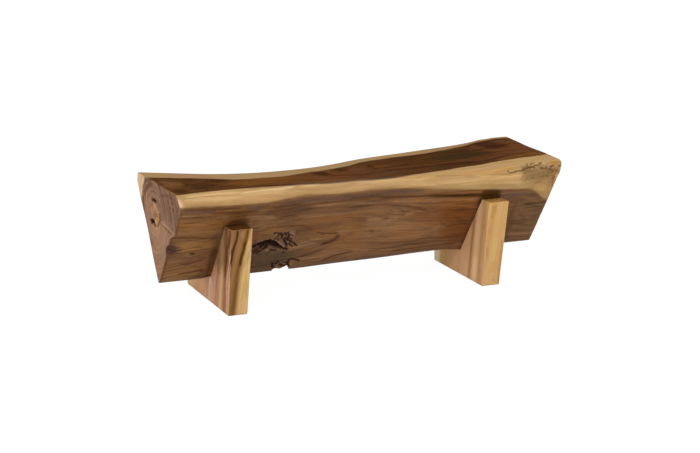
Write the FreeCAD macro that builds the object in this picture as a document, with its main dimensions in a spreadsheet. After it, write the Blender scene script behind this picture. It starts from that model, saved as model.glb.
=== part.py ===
import FreeCAD, Part
import Sketcher
import os

# A rustic log bench. A natural log, sawn to a V below and flat on top, lies in the V notches of
# two slab legs and is screwed to them from below. X runs along the log, Y from front to back and
# Z up. The origin is on the floor, at the middle of the bench.

V = FreeCAD.Vector
doc = FreeCAD.newDocument("log_bench")


# Driving dimensions, in millimetres and degrees

SIZES = {
    # log, whose heights are from the floor up and whose middle lies a little left of the origin
    "log_length": 1478,
    "middle_shift": 8,
    "seat_height": 457,
    "keel_height": 100,
    "keel_flat": 6,
    "keel_setback": 20,
    "front_reach": 278,
    "back_reach": 249,
    "left_end_skew": 1.4,
    "right_end_skew": 3.2,
    "right_end_lean": 1.3,
    "trunk_width": 540,
    "trunk_rise": 167,
    # natural hollow in the front face, beside the left leg
    "hollow_place": 366,
    "hollow_height": 218,
    "hollow_length": 104,
    "hollow_width": 36,
    "hollow_depth": 15,
    # chips broken out of the keel
    "chip_place": 322,
    "chip_length": 76,
    "chip_rise": 14,
    # pith holes and corner bite of the left end
    "pith_depth": 15,
    "pith_length": 16,
    "pith_width": 8,
    "pith_height": 378,
    "pith_setback": 46,
    "pith_drop": 79,
    "bite_length": 34,
    "bite_height": 52,
    "bite_depth": 12,
    "bite_place": 238,
    # legs, set in from the ends of the log
    "left_leg_inset": 229,
    "right_leg_inset": 257,
    "left_ear_height": 325,
    "right_ear_height": 331,
    "foot_front": 205,
    "left_foot_back": 250,
    "right_foot_back": 205,
    "ear_front": 263,
    "left_ear_back": 262,
    "right_ear_back": 222,
    "foot_thickness": 72,
    "ear_thickness": 80,
    "leg_ease": 2,
    "notch_clearance": 0.2,
    # lag screws and washers
    "screw_spacing": 34,
    "screw_diameter": 10,
    "screw_length": 115,
    "screw_point": 12,
    "head_width": 16,
    "head_height": 6.5,
    "washer_diameter": 21,
    "washer_thickness": 2,
    "counterbore_diameter": 24,
    "counterbore_depth": 38,
    "screw_clearance": 1,
    "pilot_clearance": 0.2,
    "pilot_spare": 4,
    # square floor glides and the cut nails that hold them
    "glide_width": 24,
    "glide_thickness": 5,
    "glide_proud": 2,
    "glide_ease": 1.2,
    "glide_clearance": 0.3,
    "glide_inset_x": 18,
    "glide_inset_y": 34,
    "nail_width": 2.2,
    "nail_length": 18,
    "nail_point": 5,
    "nail_head_width": 7,
    "nail_head_thickness": 1.2,
    "nail_recess": 1.6,
    "nail_clearance": 0.1,
    # how far every cut runs past what it cuts
    "overrun": 60,
}

# Oval sections of the natural trunk. Along is a share of the reach from the origin to the log's
# left end, across and half width are shares of the trunk's width, and half height is a share of
# the sawn depth of the log. Across is counted from the middle of the bench.
TRUNK_SHARES = [
    # along, across, half width, half height
    (-1.06, -0.022, 0.536, 0.800),
    (-0.857, -0.098, 0.480, 0.703),
    (-0.669, -0.157, 0.443, 0.641),
    (-0.495, -0.185, 0.433, 0.611),
    (-0.308, -0.189, 0.446, 0.599),
    (-0.120, -0.172, 0.461, 0.613),
    (0.080, -0.135, 0.493, 0.653),
    (0.295, -0.111, 0.509, 0.683),
    (0.535, -0.083, 0.524, 0.734),
    (0.696, -0.063, 0.537, 0.776),
    (0.790, -0.041, 0.554, 0.807),
    (0.870, -0.013, 0.578, 0.840),
    (1.05, -0.006, 0.589, 0.874),
]

# Broken outline of the chips, from their left end, as shares of their length and of their rise
CHIP_SHARES = [(0, 0), (0.08, 0.43), (0.38, 0.21), (0.74, 1), (0.87, 1), (0.84, 0.29), (1, 0)]


def make_sheet():
    sheet = doc.addObject("Spreadsheet::Sheet", "Sizes")
    for row, (alias, value) in enumerate(SIZES.items(), start=1):
        sheet.set(f"A{row}", alias)
        sheet.set(f"B{row}", str(value))
        sheet.setAlias(f"B{row}", alias)
    doc.recompute()
    return sheet


sheet = make_sheet()


# Expressions that several pieces share

def size(alias):
    return f"Sizes.{alias}"


LEFT_END = "(Sizes.log_length / 2 + Sizes.middle_shift)"
RIGHT_END = "(Sizes.log_length / 2 - Sizes.middle_shift)"
LEFT_LEG = f"(Sizes.left_leg_inset - {LEFT_END})"
RIGHT_LEG = f"({RIGHT_END} - Sizes.right_leg_inset)"
DEPTH = "(Sizes.seat_height - Sizes.keel_height)"
KEEL_LINE = "(-Sizes.keel_setback)"
KEEL_FRONT = f"({KEEL_LINE} - Sizes.keel_flat / 2)"
KEEL_BACK = f"({KEEL_LINE} + Sizes.keel_flat / 2)"
FRONT_RUN = "(Sizes.front_reach - Sizes.keel_flat / 2)"
BACK_RUN = "(Sizes.back_reach - Sizes.keel_flat / 2)"
TRUNK_HEIGHT = "(Sizes.keel_height + Sizes.trunk_rise)"
FLOOR_GAP = "Sizes.glide_proud"
SHOULDER = f"({FLOOR_GAP} + Sizes.counterbore_depth)"
HEAD_TOP = f"({SHOULDER} - Sizes.washer_thickness)"


def front_at(height):
    """Y of the sawn front face at a height."""
    return f"({KEEL_FRONT} - {FRONT_RUN} * ({height} - Sizes.keel_height) / {DEPTH})"


def back_at(height):
    """Y of the sawn back face at a height."""
    return f"({KEEL_BACK} + {BACK_RUN} * ({height} - Sizes.keel_height) / {DEPTH})"


def value(expression):
    result = sheet.evalExpression(expression)
    return float(getattr(result, "Value", result))


# Helpers for sketches and features

def make_body(name):
    body = doc.addObject("PartDesign::Body", name)
    body.Label = name
    body.AllowCompound = True
    return body


def origin_feature(body, role):
    return next(f for f in body.Origin.OriginFeatures if f.Role == role)


def make_sketch(body, name, plane, loops=(), circles=()):
    """Closed polygons and circles, each corner and centre tied to the sheet."""
    sketch = body.newObject("Sketcher::SketchObject", name)
    sketch.AttachmentSupport = [(origin_feature(body, plane), "")]
    sketch.MapMode = "FlatFace"
    for loop in loops:
        add_polygon(sketch, loop)
    for across, up, radius in circles:
        add_circle(sketch, across, up, radius)
    return sketch


def tie(sketch, kind, geometry, point, expression):
    index = sketch.addConstraint(
        constraint(kind, geometry, point, value(expression))
    )
    sketch.setExpression(f"Constraints[{index}]", expression)


def constraint(kind, geometry, point, amount):
    if kind == "Radius":
        return Sketcher.Constraint(kind, geometry, amount)
    return Sketcher.Constraint(kind, -1, 1, geometry, point, amount)


def add_polygon(sketch, corners):
    points = [V(value(a), value(b), 0) for a, b in corners]
    first = sketch.GeometryCount
    for start, end in zip(points, points[1:] + points[:1]):
        sketch.addGeometry(Part.LineSegment(start, end))
    count = len(corners)
    for step in range(count):
        here = first + step
        after = first + (step + 1) % count
        sketch.addConstraint(Sketcher.Constraint("Coincident", here, 2, after, 1))
    for step, (a, b) in enumerate(corners):
        tie(sketch, "DistanceX", first + step, 1, a)
        tie(sketch, "DistanceY", first + step, 1, b)


def add_circle(sketch, across, up, radius):
    centre = V(value(across), value(up), 0)
    index = sketch.addGeometry(Part.Circle(centre, V(0, 0, 1), value(radius)))
    tie(sketch, "DistanceX", index, 3, across)
    tie(sketch, "DistanceY", index, 3, up)
    tie(sketch, "Radius", index, 0, radius)


def box_corners(left, right, low, high):
    return [(left, low), (right, low), (right, high), (left, high)]


def square(across, up, half):
    low = f"{up} - ({half})"
    high = f"{up} + ({half})"
    return box_corners(f"{across} - ({half})", f"{across} + ({half})", low, high)


def lift(sketch, height):
    """Raises a level sketch to a height above the floor."""
    sketch.setExpression("AttachmentOffset.Base.z", height)


def pad(body, name, sketch, length, both_ways=False, downwards=False):
    feature = body.newObject("PartDesign::Pad", name)
    feature.Profile = sketch
    feature.SideType = "Symmetric" if both_ways else "One side"
    feature.Reversed = downwards
    feature.setExpression("Length", length)
    return feature


def pocket(body, name, sketch, length=None, both_ways=False, along_normal=False):
    """Cuts through everything, or to a length, and must take some wood away."""
    doc.recompute()
    before = body.Shape.Volume
    feature = body.newObject("PartDesign::Pocket", name)
    feature.Profile = sketch
    feature.SideType = "Symmetric" if both_ways else "One side"
    feature.Reversed = along_normal
    feature.Type = "Length" if length else "ThroughAll"
    if length:
        feature.setExpression("Length", length)
    doc.recompute()
    if not body.Shape.Volume < before:
        raise RuntimeError(f"{name} cuts nothing")
    return feature


def row(body, name, features, spacing_x, spacing_y=None):
    """Repeats features in a row of two, or in a square of four."""
    doc.recompute()
    feature = body.newObject("PartDesign::LinearPattern", name)
    feature.Originals = features
    feature.Direction = (origin_feature(body, "X_Axis"), [""])
    feature.setExpression("Length", spacing_x)
    feature.Occurrences = 2
    if spacing_y:
        feature.Direction2 = (origin_feature(body, "Y_Axis"), [""])
        feature.setExpression("Length2", spacing_y)
        feature.Occurrences2 = 2
    body.Tip = feature
    return feature


def place(item, x="0", y="0", z="0"):
    item.setExpression("Placement.Base.x", x)
    item.setExpression("Placement.Base.y", y)
    item.setExpression("Placement.Base.z", z)


# The log

def make_sawn_wedge():
    """The log's V below, flat top and keel flat, its end cuts, chipped keel and screw holes."""
    body = make_body("sawn_wedge")
    profile = make_sketch(
        body,
        "wedge_profile",
        "YZ_Plane",
        [
            [
                (KEEL_FRONT, size("keel_height")),
                (KEEL_BACK, size("keel_height")),
                (back_at(size("seat_height")), size("seat_height")),
                (front_at(size("seat_height")), size("seat_height")),
            ]
        ],
    )
    pad(body, "wedge", profile, f"2 * ({LEFT_END} + Sizes.overrun)", both_ways=True)
    saw_end(body, "left", f"-{LEFT_END}", "Sizes.left_end_skew", "0", False)
    saw_end(body, "right", RIGHT_END, "-Sizes.right_end_skew", "Sizes.right_end_lean", True)
    chip_keel(body)
    drill_pilots(body)
    return body


def saw_end(body, side, place_x, skew, lean, along_normal):
    """One end cut, turned about the keel by its skew in plan and its lean."""
    reach = size("trunk_width")
    sketch = make_sketch(
        body,
        f"{side}_end_cut",
        "YZ_Plane",
        [box_corners(f"-{reach}", reach, "-Sizes.keel_height", size("seat_height"))],
    )
    sketch.setExpression(
        "AttachmentOffset",
        f"placement(vector({KEEL_LINE}; Sizes.keel_height; {place_x}); rotation(0; {skew}; {lean}))",
    )
    pocket(body, f"{side}_end_sawn", sketch, along_normal=along_normal)


def chip_keel(body):
    """Breaks the chips out of the keel, right through."""
    outline = [
        (
            f"-Sizes.chip_place + {along} * Sizes.chip_length",
            f"Sizes.keel_height + {rise} * Sizes.chip_rise",
        )
        for along, rise in CHIP_SHARES + [(1, -1), (0, -1)]
    ]
    sketch = make_sketch(body, "chip_profile", "XZ_Plane", [outline])
    pocket(body, "keel_chips", sketch, both_ways=True)


def drill_pilots(body):
    half = "Sizes.screw_spacing / 2"
    radius = "Sizes.screw_diameter / 2 + Sizes.pilot_clearance"
    circles = []
    for leg in (LEFT_LEG, RIGHT_LEG):
        for side in ("-", "+"):
            circles.append((f"{leg} {side} {half}", KEEL_LINE, radius))
    sketch = make_sketch(body, "pilot_places", "XY_Plane", circles=circles)
    lift(sketch, HEAD_TOP)
    pocket(body, "pilots", sketch, "Sizes.screw_length + Sizes.pilot_spare", along_normal=True)


def make_trunk():
    """The natural round of the log, lofted through its oval sections. Each is a unit circle
    stretched to its half width and half height, because either may be the longer."""
    sections = []
    for along, across, half_width, half_height in TRUNK_SHARES:
        width = value(size("trunk_width"))
        stretch = FreeCAD.Matrix()
        stretch.scale(V(1, half_width * width, half_height * value(DEPTH)))
        stretch.move(V(along * value(LEFT_END), across * width, value(TRUNK_HEIGHT)))
        circle = Part.Wire(Part.Circle(V(0, 0, 0), V(1, 0, 0), 1).toShape())
        sections.append(circle.transformGeometry(stretch))
    trunk = doc.addObject("Part::Feature", "trunk")
    trunk.Shape = Part.makeLoft(sections, True)
    return trunk


def make_scoop(name, centre, radii, turn="0"):
    """A rounded natural void. Its radii are along X, up the face and into the wood."""
    scoop = doc.addObject("Part::Ellipsoid", name)
    scoop.setExpression("Radius2", radii[0])
    scoop.setExpression("Radius3", radii[1])
    scoop.setExpression("Radius1", radii[2])
    scoop.Placement.Rotation = FreeCAD.Rotation(V(1, 0, 0), 1)
    place(scoop, *centre)
    scoop.setExpression("Placement.Rotation.Angle", turn)
    return scoop


def make_voids():
    face_turn = f"-atan({DEPTH} / {FRONT_RUN})"
    hollow_tail_height = "(Sizes.hollow_height - Sizes.hollow_width / 3)"
    pith_low = "(Sizes.pith_height - Sizes.pith_drop)"
    return [
        make_scoop(
            "hollow",
            ("-Sizes.hollow_place", front_at(size("hollow_height")), size("hollow_height")),
            ("Sizes.hollow_length / 2", "Sizes.hollow_width / 2", size("hollow_depth")),
            face_turn,
        ),
        make_scoop(
            "hollow_tail",
            (
                "-(Sizes.hollow_place + Sizes.hollow_length / 3)",
                front_at(hollow_tail_height),
                hollow_tail_height,
            ),
            ("Sizes.hollow_length / 3", "Sizes.hollow_width / 2", "Sizes.hollow_depth * 0.8"),
            face_turn,
        ),
        make_scoop(
            "pith_hole",
            (f"-{LEFT_END}", size("pith_setback"), size("pith_height")),
            (size("pith_depth"), "Sizes.pith_width / 2", "Sizes.pith_length / 2"),
        ),
        make_scoop(
            "lower_pith_hole",
            (f"-{LEFT_END}", "Sizes.pith_setback * 0.7", pith_low),
            (size("pith_depth"), size("pith_width"), "Sizes.pith_length / 2"),
        ),
        make_scoop(
            "corner_bite",
            (f"-{LEFT_END}", front_at(size("bite_place")), size("bite_place")),
            ("Sizes.bite_length / 2", size("bite_depth"), "Sizes.bite_height / 2"),
        ),
    ]


def make_log_seat():
    """The sawn wedge inside the natural trunk, so that the trunk's own round is left along the
    top edges, less the natural voids."""
    wedge = make_sawn_wedge()
    trunk = make_trunk()
    log = doc.addObject("Part::MultiCommon", "live_edge_log")
    log.Shapes = [trunk, wedge]
    voids = doc.addObject("Part::Compound", "natural_voids")
    voids.Links = make_voids()
    seat = doc.addObject("Part::Cut", "log_seat")
    seat.Label = "log_seat"
    seat.Base = log
    seat.Tool = voids
    return seat


# The legs

def make_leg(side, place_x):
    """A slab with a V notch for the log, its faces a little further apart at the ears."""
    body = make_body(f"{side}_cradle_leg")
    ear = size(f"{side}_ear_height")
    gap = size("notch_clearance")
    notch_floor = f"(Sizes.keel_height - {gap})"
    cradle = make_sketch(
        body,
        f"{side}_cradle_profile",
        "YZ_Plane",
        [
            [
                ("-Sizes.foot_front", FLOOR_GAP),
                (size(f"{side}_foot_back"), FLOOR_GAP),
                (size(f"{side}_ear_back"), ear),
                (f"{back_at(ear)} + {gap}", ear),
                (f"{KEEL_BACK} + {gap}", notch_floor),
                (f"{KEEL_FRONT} - {gap}", notch_floor),
                (f"{front_at(ear)} - {gap}", ear),
                ("-Sizes.ear_front", ear),
            ]
        ],
    )
    pad(body, f"{side}_slab", cradle, size("ear_thickness"), both_ways=True)
    slab = taper_faces(body, side, ear)
    ease = body.newObject("PartDesign::Chamfer", f"{side}_eased_edges")
    ease.Base = (slab, [""])
    ease.UseAllEdges = True
    ease.setExpression("Size", size("leg_ease"))
    drill_leg(body, side)
    place(body, place_x)
    return body


def taper_faces(body, side, ear):
    """Planes the slab's two broad faces down to the foot's thickness."""
    foot = "Sizes.foot_thickness / 2"
    top = "Sizes.ear_thickness / 2"
    past = "(Sizes.ear_thickness / 2 + Sizes.overrun)"
    loops = []
    for sign in ("-", ""):
        loops.append(
            [
                (f"{sign}{foot}", FLOOR_GAP),
                (f"{sign}{top}", ear),
                (f"{sign}{past}", ear),
                (f"{sign}{past}", FLOOR_GAP),
            ]
        )
    sketch = make_sketch(body, f"{side}_taper_profile", "XZ_Plane", loops)
    return pocket(body, f"{side}_tapered", sketch, both_ways=True)


def screw_circles(radius):
    half = "Sizes.screw_spacing / 2"
    return [(f"{sign}{half}", KEEL_LINE, radius) for sign in ("-", "")]


def glide_squares(side, half):
    half_x = "(Sizes.foot_thickness / 2 - Sizes.glide_inset_x)"
    front = "-(Sizes.foot_front - Sizes.glide_inset_y)"
    back = f"(Sizes.{side}_foot_back - Sizes.glide_inset_y)"
    return [square(f"{sign}{half_x}", y, half) for sign in ("-", "") for y in (front, back)]


def drill_leg(body, side):
    """Counterbored screw holes up to the notch, glide recesses and nail holes, from below."""
    recess = "Sizes.glide_thickness - Sizes.glide_proud"
    holes = {
        "screw_holes": ("(Sizes.screw_diameter + Sizes.screw_clearance) / 2", None),
        "counterbores": ("Sizes.counterbore_diameter / 2", size("counterbore_depth")),
    }
    for name, (radius, depth) in holes.items():
        sketch = make_sketch(body, f"{side}_{name}_plan", "XY_Plane", circles=screw_circles(radius))
        lift(sketch, FLOOR_GAP)
        pocket(body, f"{side}_{name}", sketch, depth, along_normal=True)
    seats = {
        "glide_recesses": ("Sizes.glide_width / 2 + Sizes.glide_clearance", recess),
        "nail_holes": (
            "Sizes.nail_width / 2 + Sizes.nail_clearance",
            "Sizes.nail_recess + Sizes.nail_length + Sizes.nail_clearance - Sizes.glide_proud",
        ),
    }
    for name, (half, depth) in seats.items():
        sketch = make_sketch(body, f"{side}_{name}_plan", "XY_Plane", glide_squares(side, half))
        lift(sketch, FLOOR_GAP)
        pocket(body, f"{side}_{name}", sketch, depth, along_normal=True)


# The fixings

def make_screws(side, place_x):
    """Hex lag screws with a pointed shank. Their threads are left smooth."""
    body = make_body(f"{side}_leg_lag_screws")
    flat = "Sizes.head_width / 2"
    corner = "Sizes.head_width / sqrt(3)"
    centre = "Sizes.screw_spacing / 2"
    hexagon = [
        (f"-{centre} + {corner}", "0"),
        (f"-{centre} + {corner} / 2", flat),
        (f"-{centre} - {corner} / 2", flat),
        (f"-{centre} - {corner}", "0"),
        (f"-{centre} - {corner} / 2", f"-{flat}"),
        (f"-{centre} + {corner} / 2", f"-{flat}"),
    ]
    heads = make_sketch(body, f"{side}_head_plan", "XY_Plane", [hexagon])
    head = pad(body, f"{side}_heads", heads, size("head_height"), downwards=True)
    shanks = make_sketch(
        body,
        f"{side}_shank_plan",
        "XY_Plane",
        circles=[(f"-{centre}", "0", "Sizes.screw_diameter / 2")],
    )
    shank = pad(body, f"{side}_shanks", shanks, "Sizes.screw_length - Sizes.screw_point")
    tips = make_sketch(
        body,
        f"{side}_point_plan",
        "XY_Plane",
        circles=[(f"-{centre}", "0", "Sizes.screw_diameter / 2")],
    )
    lift(tips, "Sizes.screw_length - Sizes.screw_point")
    point = pad(body, f"{side}_points", tips, size("screw_point"))
    point.setExpression("TaperAngle", "-atan(Sizes.screw_diameter / 2.6 / Sizes.screw_point)")
    row(body, f"{side}_screw_row", [head, shank, point], size("screw_spacing"))
    place(body, place_x, KEEL_LINE, HEAD_TOP)
    return body


def make_washers(side, place_x):
    body = make_body(f"{side}_leg_washers")
    circles = []
    for sign in ("-", ""):
        centre = f"{sign}Sizes.screw_spacing / 2"
        circles.append((centre, "0", "Sizes.washer_diameter / 2"))
        circles.append((centre, "0", "(Sizes.screw_diameter + Sizes.screw_clearance) / 2"))
    plan = make_sketch(body, f"{side}_washer_plan", "XY_Plane", circles=circles)
    pad(body, f"{side}_washers", plan, size("washer_thickness"))
    place(body, place_x, KEEL_LINE, HEAD_TOP)
    return body


def glide_row(body, side, features, place_x):
    """Repeats a glide's or nail's features at the four corners of a foot."""
    spacing_x = "(Sizes.foot_thickness - 2 * Sizes.glide_inset_x)"
    spacing_y = f"(Sizes.foot_front + Sizes.{side}_foot_back - 2 * Sizes.glide_inset_y)"
    row(body, f"{body.Name}_set", features, spacing_x, spacing_y)
    place(body, f"{place_x} - {spacing_x} / 2", "-(Sizes.foot_front - Sizes.glide_inset_y)")


def make_glides(side, place_x):
    """Square plastic pads with an eased rim below and a recess for the nail's head."""
    body = make_body(f"{side}_leg_floor_glides")
    outline = [square("0", "0", "Sizes.glide_width / 2")]
    plate_plan = make_sketch(body, f"{side}_glide_plan", "XY_Plane", outline)
    lift(plate_plan, size("glide_ease"))
    plate = pad(body, f"{side}_glide", plate_plan, "Sizes.glide_thickness - Sizes.glide_ease")
    rim_plan = make_sketch(body, f"{side}_glide_rim_plan", "XY_Plane", outline)
    lift(rim_plan, size("glide_ease"))
    rim = pad(body, f"{side}_glide_rim", rim_plan, size("glide_ease"), downwards=True)
    rim.TaperAngle = -45
    cuts = {
        "nail_recess": (
            "Sizes.nail_head_width / 2 + Sizes.nail_clearance",
            "Sizes.nail_recess + Sizes.nail_head_thickness + Sizes.nail_clearance",
        ),
        "nail_way": ("Sizes.nail_width / 2 + Sizes.nail_clearance", size("glide_thickness")),
    }
    features = [plate, rim]
    for name, (half, depth) in cuts.items():
        sketch = make_sketch(body, f"{side}_{name}_plan", "XY_Plane", [square("0", "0", half)])
        features.append(pocket(body, f"{side}_{name}", sketch, depth, along_normal=True))
    glide_row(body, side, features, place_x)
    return body


def make_nails(side, place_x):
    """Square cut nails, head down, with a tapered point."""
    body = make_body(f"{side}_leg_glide_nails")
    stages = {
        "head": ("Sizes.nail_head_width / 2", size("nail_recess"), size("nail_head_thickness")),
        "shank": (
            "Sizes.nail_width / 2",
            size("nail_recess"),
            "Sizes.nail_length - Sizes.nail_point",
        ),
        "point": (
            "Sizes.nail_width / 2",
            "Sizes.nail_recess + Sizes.nail_length - Sizes.nail_point",
            size("nail_point"),
        ),
    }
    features = []
    for name, (half, start, length) in stages.items():
        outline = [square("0", "0", half)]
        sketch = make_sketch(body, f"{side}_nail_{name}_plan", "XY_Plane", outline)
        lift(sketch, start)
        features.append(pad(body, f"{side}_nail_{name}", sketch, length))
    point = features[-1]
    point.setExpression("TaperAngle", "-atan(Sizes.nail_width / 3 / Sizes.nail_point)")
    glide_row(body, side, features, place_x)
    return body


# Assembly, checks and files

def make_bench():
    pieces = [make_log_seat()]
    for side, place_x in (("left", LEFT_LEG), ("right", RIGHT_LEG)):
        pieces.append(make_leg(side, place_x))
        pieces.append(make_screws(side, place_x))
        pieces.append(make_washers(side, place_x))
        pieces.append(make_glides(side, place_x))
        pieces.append(make_nails(side, place_x))
    doc.recompute()
    return pieces


def check_document(pieces):
    for item in doc.Objects:
        for state in ("Invalid", "Error"):
            if state in item.State:
                raise RuntimeError(f"{item.Label} is {state}")
    for piece in pieces:
        if piece.Shape.isNull() or not piece.Shape.isValid() or not piece.Shape.Solids:
            raise RuntimeError(f"{piece.Label} has no sound solid")


def write_parts(pieces):
    os.makedirs("parts", exist_ok=True)
    for piece in pieces:
        piece.Shape.exportStep(os.path.join("parts", piece.Label + ".step"))
        box = piece.Shape.optimalBoundingBox()
        print(
            piece.Label,
            len(piece.Shape.Solids),
            f"X {box.XMin:.1f} {box.XMax:.1f} Y {box.YMin:.1f} {box.YMax:.1f}",
            f"Z {box.ZMin:.1f} {box.ZMax:.1f} volume {piece.Shape.Volume:.0f}",
        )


bench = make_bench()
check_document(bench)
write_parts(bench)
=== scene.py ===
import math

import bpy
import numpy as np
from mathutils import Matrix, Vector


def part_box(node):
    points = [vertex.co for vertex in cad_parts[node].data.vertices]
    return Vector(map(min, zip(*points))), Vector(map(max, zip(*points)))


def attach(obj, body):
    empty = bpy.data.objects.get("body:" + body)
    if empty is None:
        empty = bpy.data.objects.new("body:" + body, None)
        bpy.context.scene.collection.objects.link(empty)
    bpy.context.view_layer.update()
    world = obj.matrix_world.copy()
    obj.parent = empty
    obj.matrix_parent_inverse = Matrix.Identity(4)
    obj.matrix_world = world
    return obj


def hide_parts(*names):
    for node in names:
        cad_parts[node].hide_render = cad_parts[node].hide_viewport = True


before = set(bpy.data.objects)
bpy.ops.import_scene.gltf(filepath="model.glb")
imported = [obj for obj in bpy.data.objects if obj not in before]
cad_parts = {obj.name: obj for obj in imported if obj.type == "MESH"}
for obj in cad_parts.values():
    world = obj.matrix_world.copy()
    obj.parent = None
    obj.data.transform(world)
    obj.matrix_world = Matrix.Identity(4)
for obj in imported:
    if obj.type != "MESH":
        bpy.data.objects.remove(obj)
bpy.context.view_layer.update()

# Some strokes, patches and colours of the log and the legs are painted shade and painted highlights.
# The looks of a rustic log bench. The log is rebuilt as a fine mesh over its CAD node, with the
# hollow, cracks, chips and pith holes carved into it and its figure painted from strokes and
# patches.
# The legs and the hidden hardware keep their CAD solids. Sizes here are in millimetres.

MM = 0.001


# Driving sizes of the bench, as in the part's source

LOG_LOW, LOG_HIGH = (np.array(corner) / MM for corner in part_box("log_seat"))
KEEL_Z = round(LOG_LOW[2])
SEAT_Z = round(LOG_HIGH[2])
DEPTH = SEAT_Z - KEEL_Z
LOG_LENGTH = 1478
MIDDLE_SHIFT = 8
LEFT_END = -LOG_LENGTH / 2 - MIDDLE_SHIFT
RIGHT_END = LOG_LENGTH / 2 - MIDDLE_SHIFT
KEEL_LINE = -20
KEEL_FLAT = 6
KEEL_FRONT = KEEL_LINE - KEEL_FLAT / 2
KEEL_BACK = KEEL_LINE + KEEL_FLAT / 2
FRONT_REACH = KEEL_LINE - 278
BACK_REACH = KEEL_LINE + 249
LEFT_LEG_X = LEFT_END + 229
RIGHT_LEG_X = RIGHT_END - 257
LEFT_SKEW = math.radians(1.4)
RIGHT_SKEW = math.radians(3.2)
RIGHT_LEAN = math.radians(1.3)
TRUNK_WIDTH = 540
TRUNK_Z = KEEL_Z + 167

# Oval sections of the trunk: along, across, half width and half height, as in the source
TRUNK_SHARES = np.array(
    [
        (-1.06, -0.022, 0.536, 0.800),
        (-0.857, -0.098, 0.480, 0.703),
        (-0.669, -0.157, 0.443, 0.641),
        (-0.495, -0.185, 0.433, 0.611),
        (-0.308, -0.189, 0.446, 0.599),
        (-0.120, -0.172, 0.461, 0.613),
        (0.080, -0.135, 0.493, 0.653),
        (0.295, -0.111, 0.509, 0.683),
        (0.535, -0.083, 0.524, 0.734),
        (0.696, -0.063, 0.537, 0.776),
        (0.790, -0.041, 0.554, 0.807),
        (0.870, -0.013, 0.578, 0.840),
        (1.05, -0.006, 0.589, 0.874),
    ]
)

# Mesh density of the log: spans of X with the step between their sections, and rows to a face

SPANS = [
    (LEFT_END, -446, 6.5),
    (-446, -226, 2.2),
    (-226, 530, 7),
    (530, 715, 4),
    (715, RIGHT_END, 6),
]
FRONT_ROWS = 112
# the front's rows stand closer on its lower half: shares of the rows with shares of the height
FRONT_CLOSER = ((0, 0.68, 1), (0, 0.5, 1))
BELT_ROWS = 24
TOP_ROWS = 48
BACK_ROUND_ROWS = 12
BACK_ROWS = 40
CORNER_ROWS = 4
CAP_RINGS = 30
ARRIS = 2.2
CAP_CENTRE = (30, 335)


# Colours of the wood as they look in the light, as sRGB hex

COLOURS = {
    "heart": "775335",
    "heart_pale": "8e6a48",
    "heart_deep": "573b28",
    "heart_orange": "825427",
    "heart_gold": "8c653c",
    "heart_warm": "8c603a",
    "heart_red": "6f452c",
    "heart_grey": "5c4a3c",
    "purple": "5c4335",
    "plum": "4a2f28",
    "umber": "4c2e16",
    "shade": "3e2408",
    "top": "694122",
    "top_gold": "754b22",
    "top_pale": "6c4528",
    "top_deep": "462c18",
    "top_olive": "43311c",
    "top_plum": "44241c",
    "sapwood": "bf9866",
    "sapwood_pale": "d2b07c",
    "belt_highlight": "e6c48e",
    "sapwood_orange": "c8964e",
    "sapwood_low": "8a6a42",
    "sapwood_olive": "b09460",
    "sapwood_rough": "8a6f4a",
    "belt_edge_shadow": "5a4426",
    "strip": "a6875e",
    "strip_pink": "aa8262",
    "end_grey": "846653",
    "end_deep": "644638",
    "end_pink": "a37c66",
    "end_tan": "9e785c",
    "end_gold": "b3926c",
    "end_light": "c89c7c",
    "end_bright": "c09468",
    "end_olive": "8f7c66",
    "cream": "ddb998",
    "hollow": "24160c",
    "hollow_edge": "4a3426",
    "pink_grey": "8c6e5a",
    "crack": "35201a",
    "belt_crack": "5e3a18",
    "mould": "54432f",
    "heart_olive": "8c6538",
    "heart_rust": "6c3f1a",
    "heart_moss": "694f33",
    "sapwood_tan": "b68c58",
    "bark_gold": "b07c30",
    "chip_light": "a8845c",
}


def linear(code):
    """An sRGB hex colour as scene-linear red, green and blue."""
    channels = np.array([int(code[i : i + 2], 16) for i in (0, 2, 4)]) / 255
    return np.where(channels <= 0.04045, channels / 12.92, ((channels + 0.055) / 1.055) ** 2.4)


# Curves and noise

def smooth_curve(stations, values, places):
    """A smooth curve through given values, level beyond its ends."""
    stations = np.asarray(stations, float)
    values = np.asarray(values, float)
    slopes = np.gradient(values, stations)
    places = np.clip(places, stations[0], stations[-1])
    k = np.clip(np.searchsorted(stations, places) - 1, 0, len(stations) - 2)
    span = stations[k + 1] - stations[k]
    t = (places - stations[k]) / span
    return (
        (2 * t**3 - 3 * t**2 + 1) * values[k]
        + (t**3 - 2 * t**2 + t) * span * slopes[k]
        + (3 * t**2 - 2 * t**3) * values[k + 1]
        + (t**3 - t**2) * span * slopes[k + 1]
    )


def through(points, places):
    """The smooth curve through a list of (station, value) points."""
    stations, values = zip(*points)
    return smooth_curve(stations, values, places)


def ease(value, low, high):
    """0 below low, 1 above high and smooth between. Low may be the greater."""
    t = np.clip((value - low) / (high - low), 0, 1)
    return t * t * (3 - 2 * t)


def between(value, low, full, fading, high):
    """Rises from low to full, stays 1, and falls again from fading to high."""
    return ease(value, low, full) * ease(value, high, fading)


def lattice(i, j, seed):
    """A fixed number from 0 to 1 for each corner of a grid."""
    wave = np.sin(i * 127.1 + j * 311.7 + seed * 74.7) * 43758.5453
    return wave - np.floor(wave)


def noise(u, v, seed):
    """Smooth value noise from 0 to 1, one cell to a unit."""
    i, j = np.floor(u), np.floor(v)
    a, b = u - i, v - j
    a, b = a * a * (3 - 2 * a), b * b * (3 - 2 * b)
    low = lattice(i, j, seed) * (1 - a) + lattice(i + 1, j, seed) * a
    high = lattice(i, j + 1, seed) * (1 - a) + lattice(i + 1, j + 1, seed) * a
    return low * (1 - b) + high * b


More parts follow.
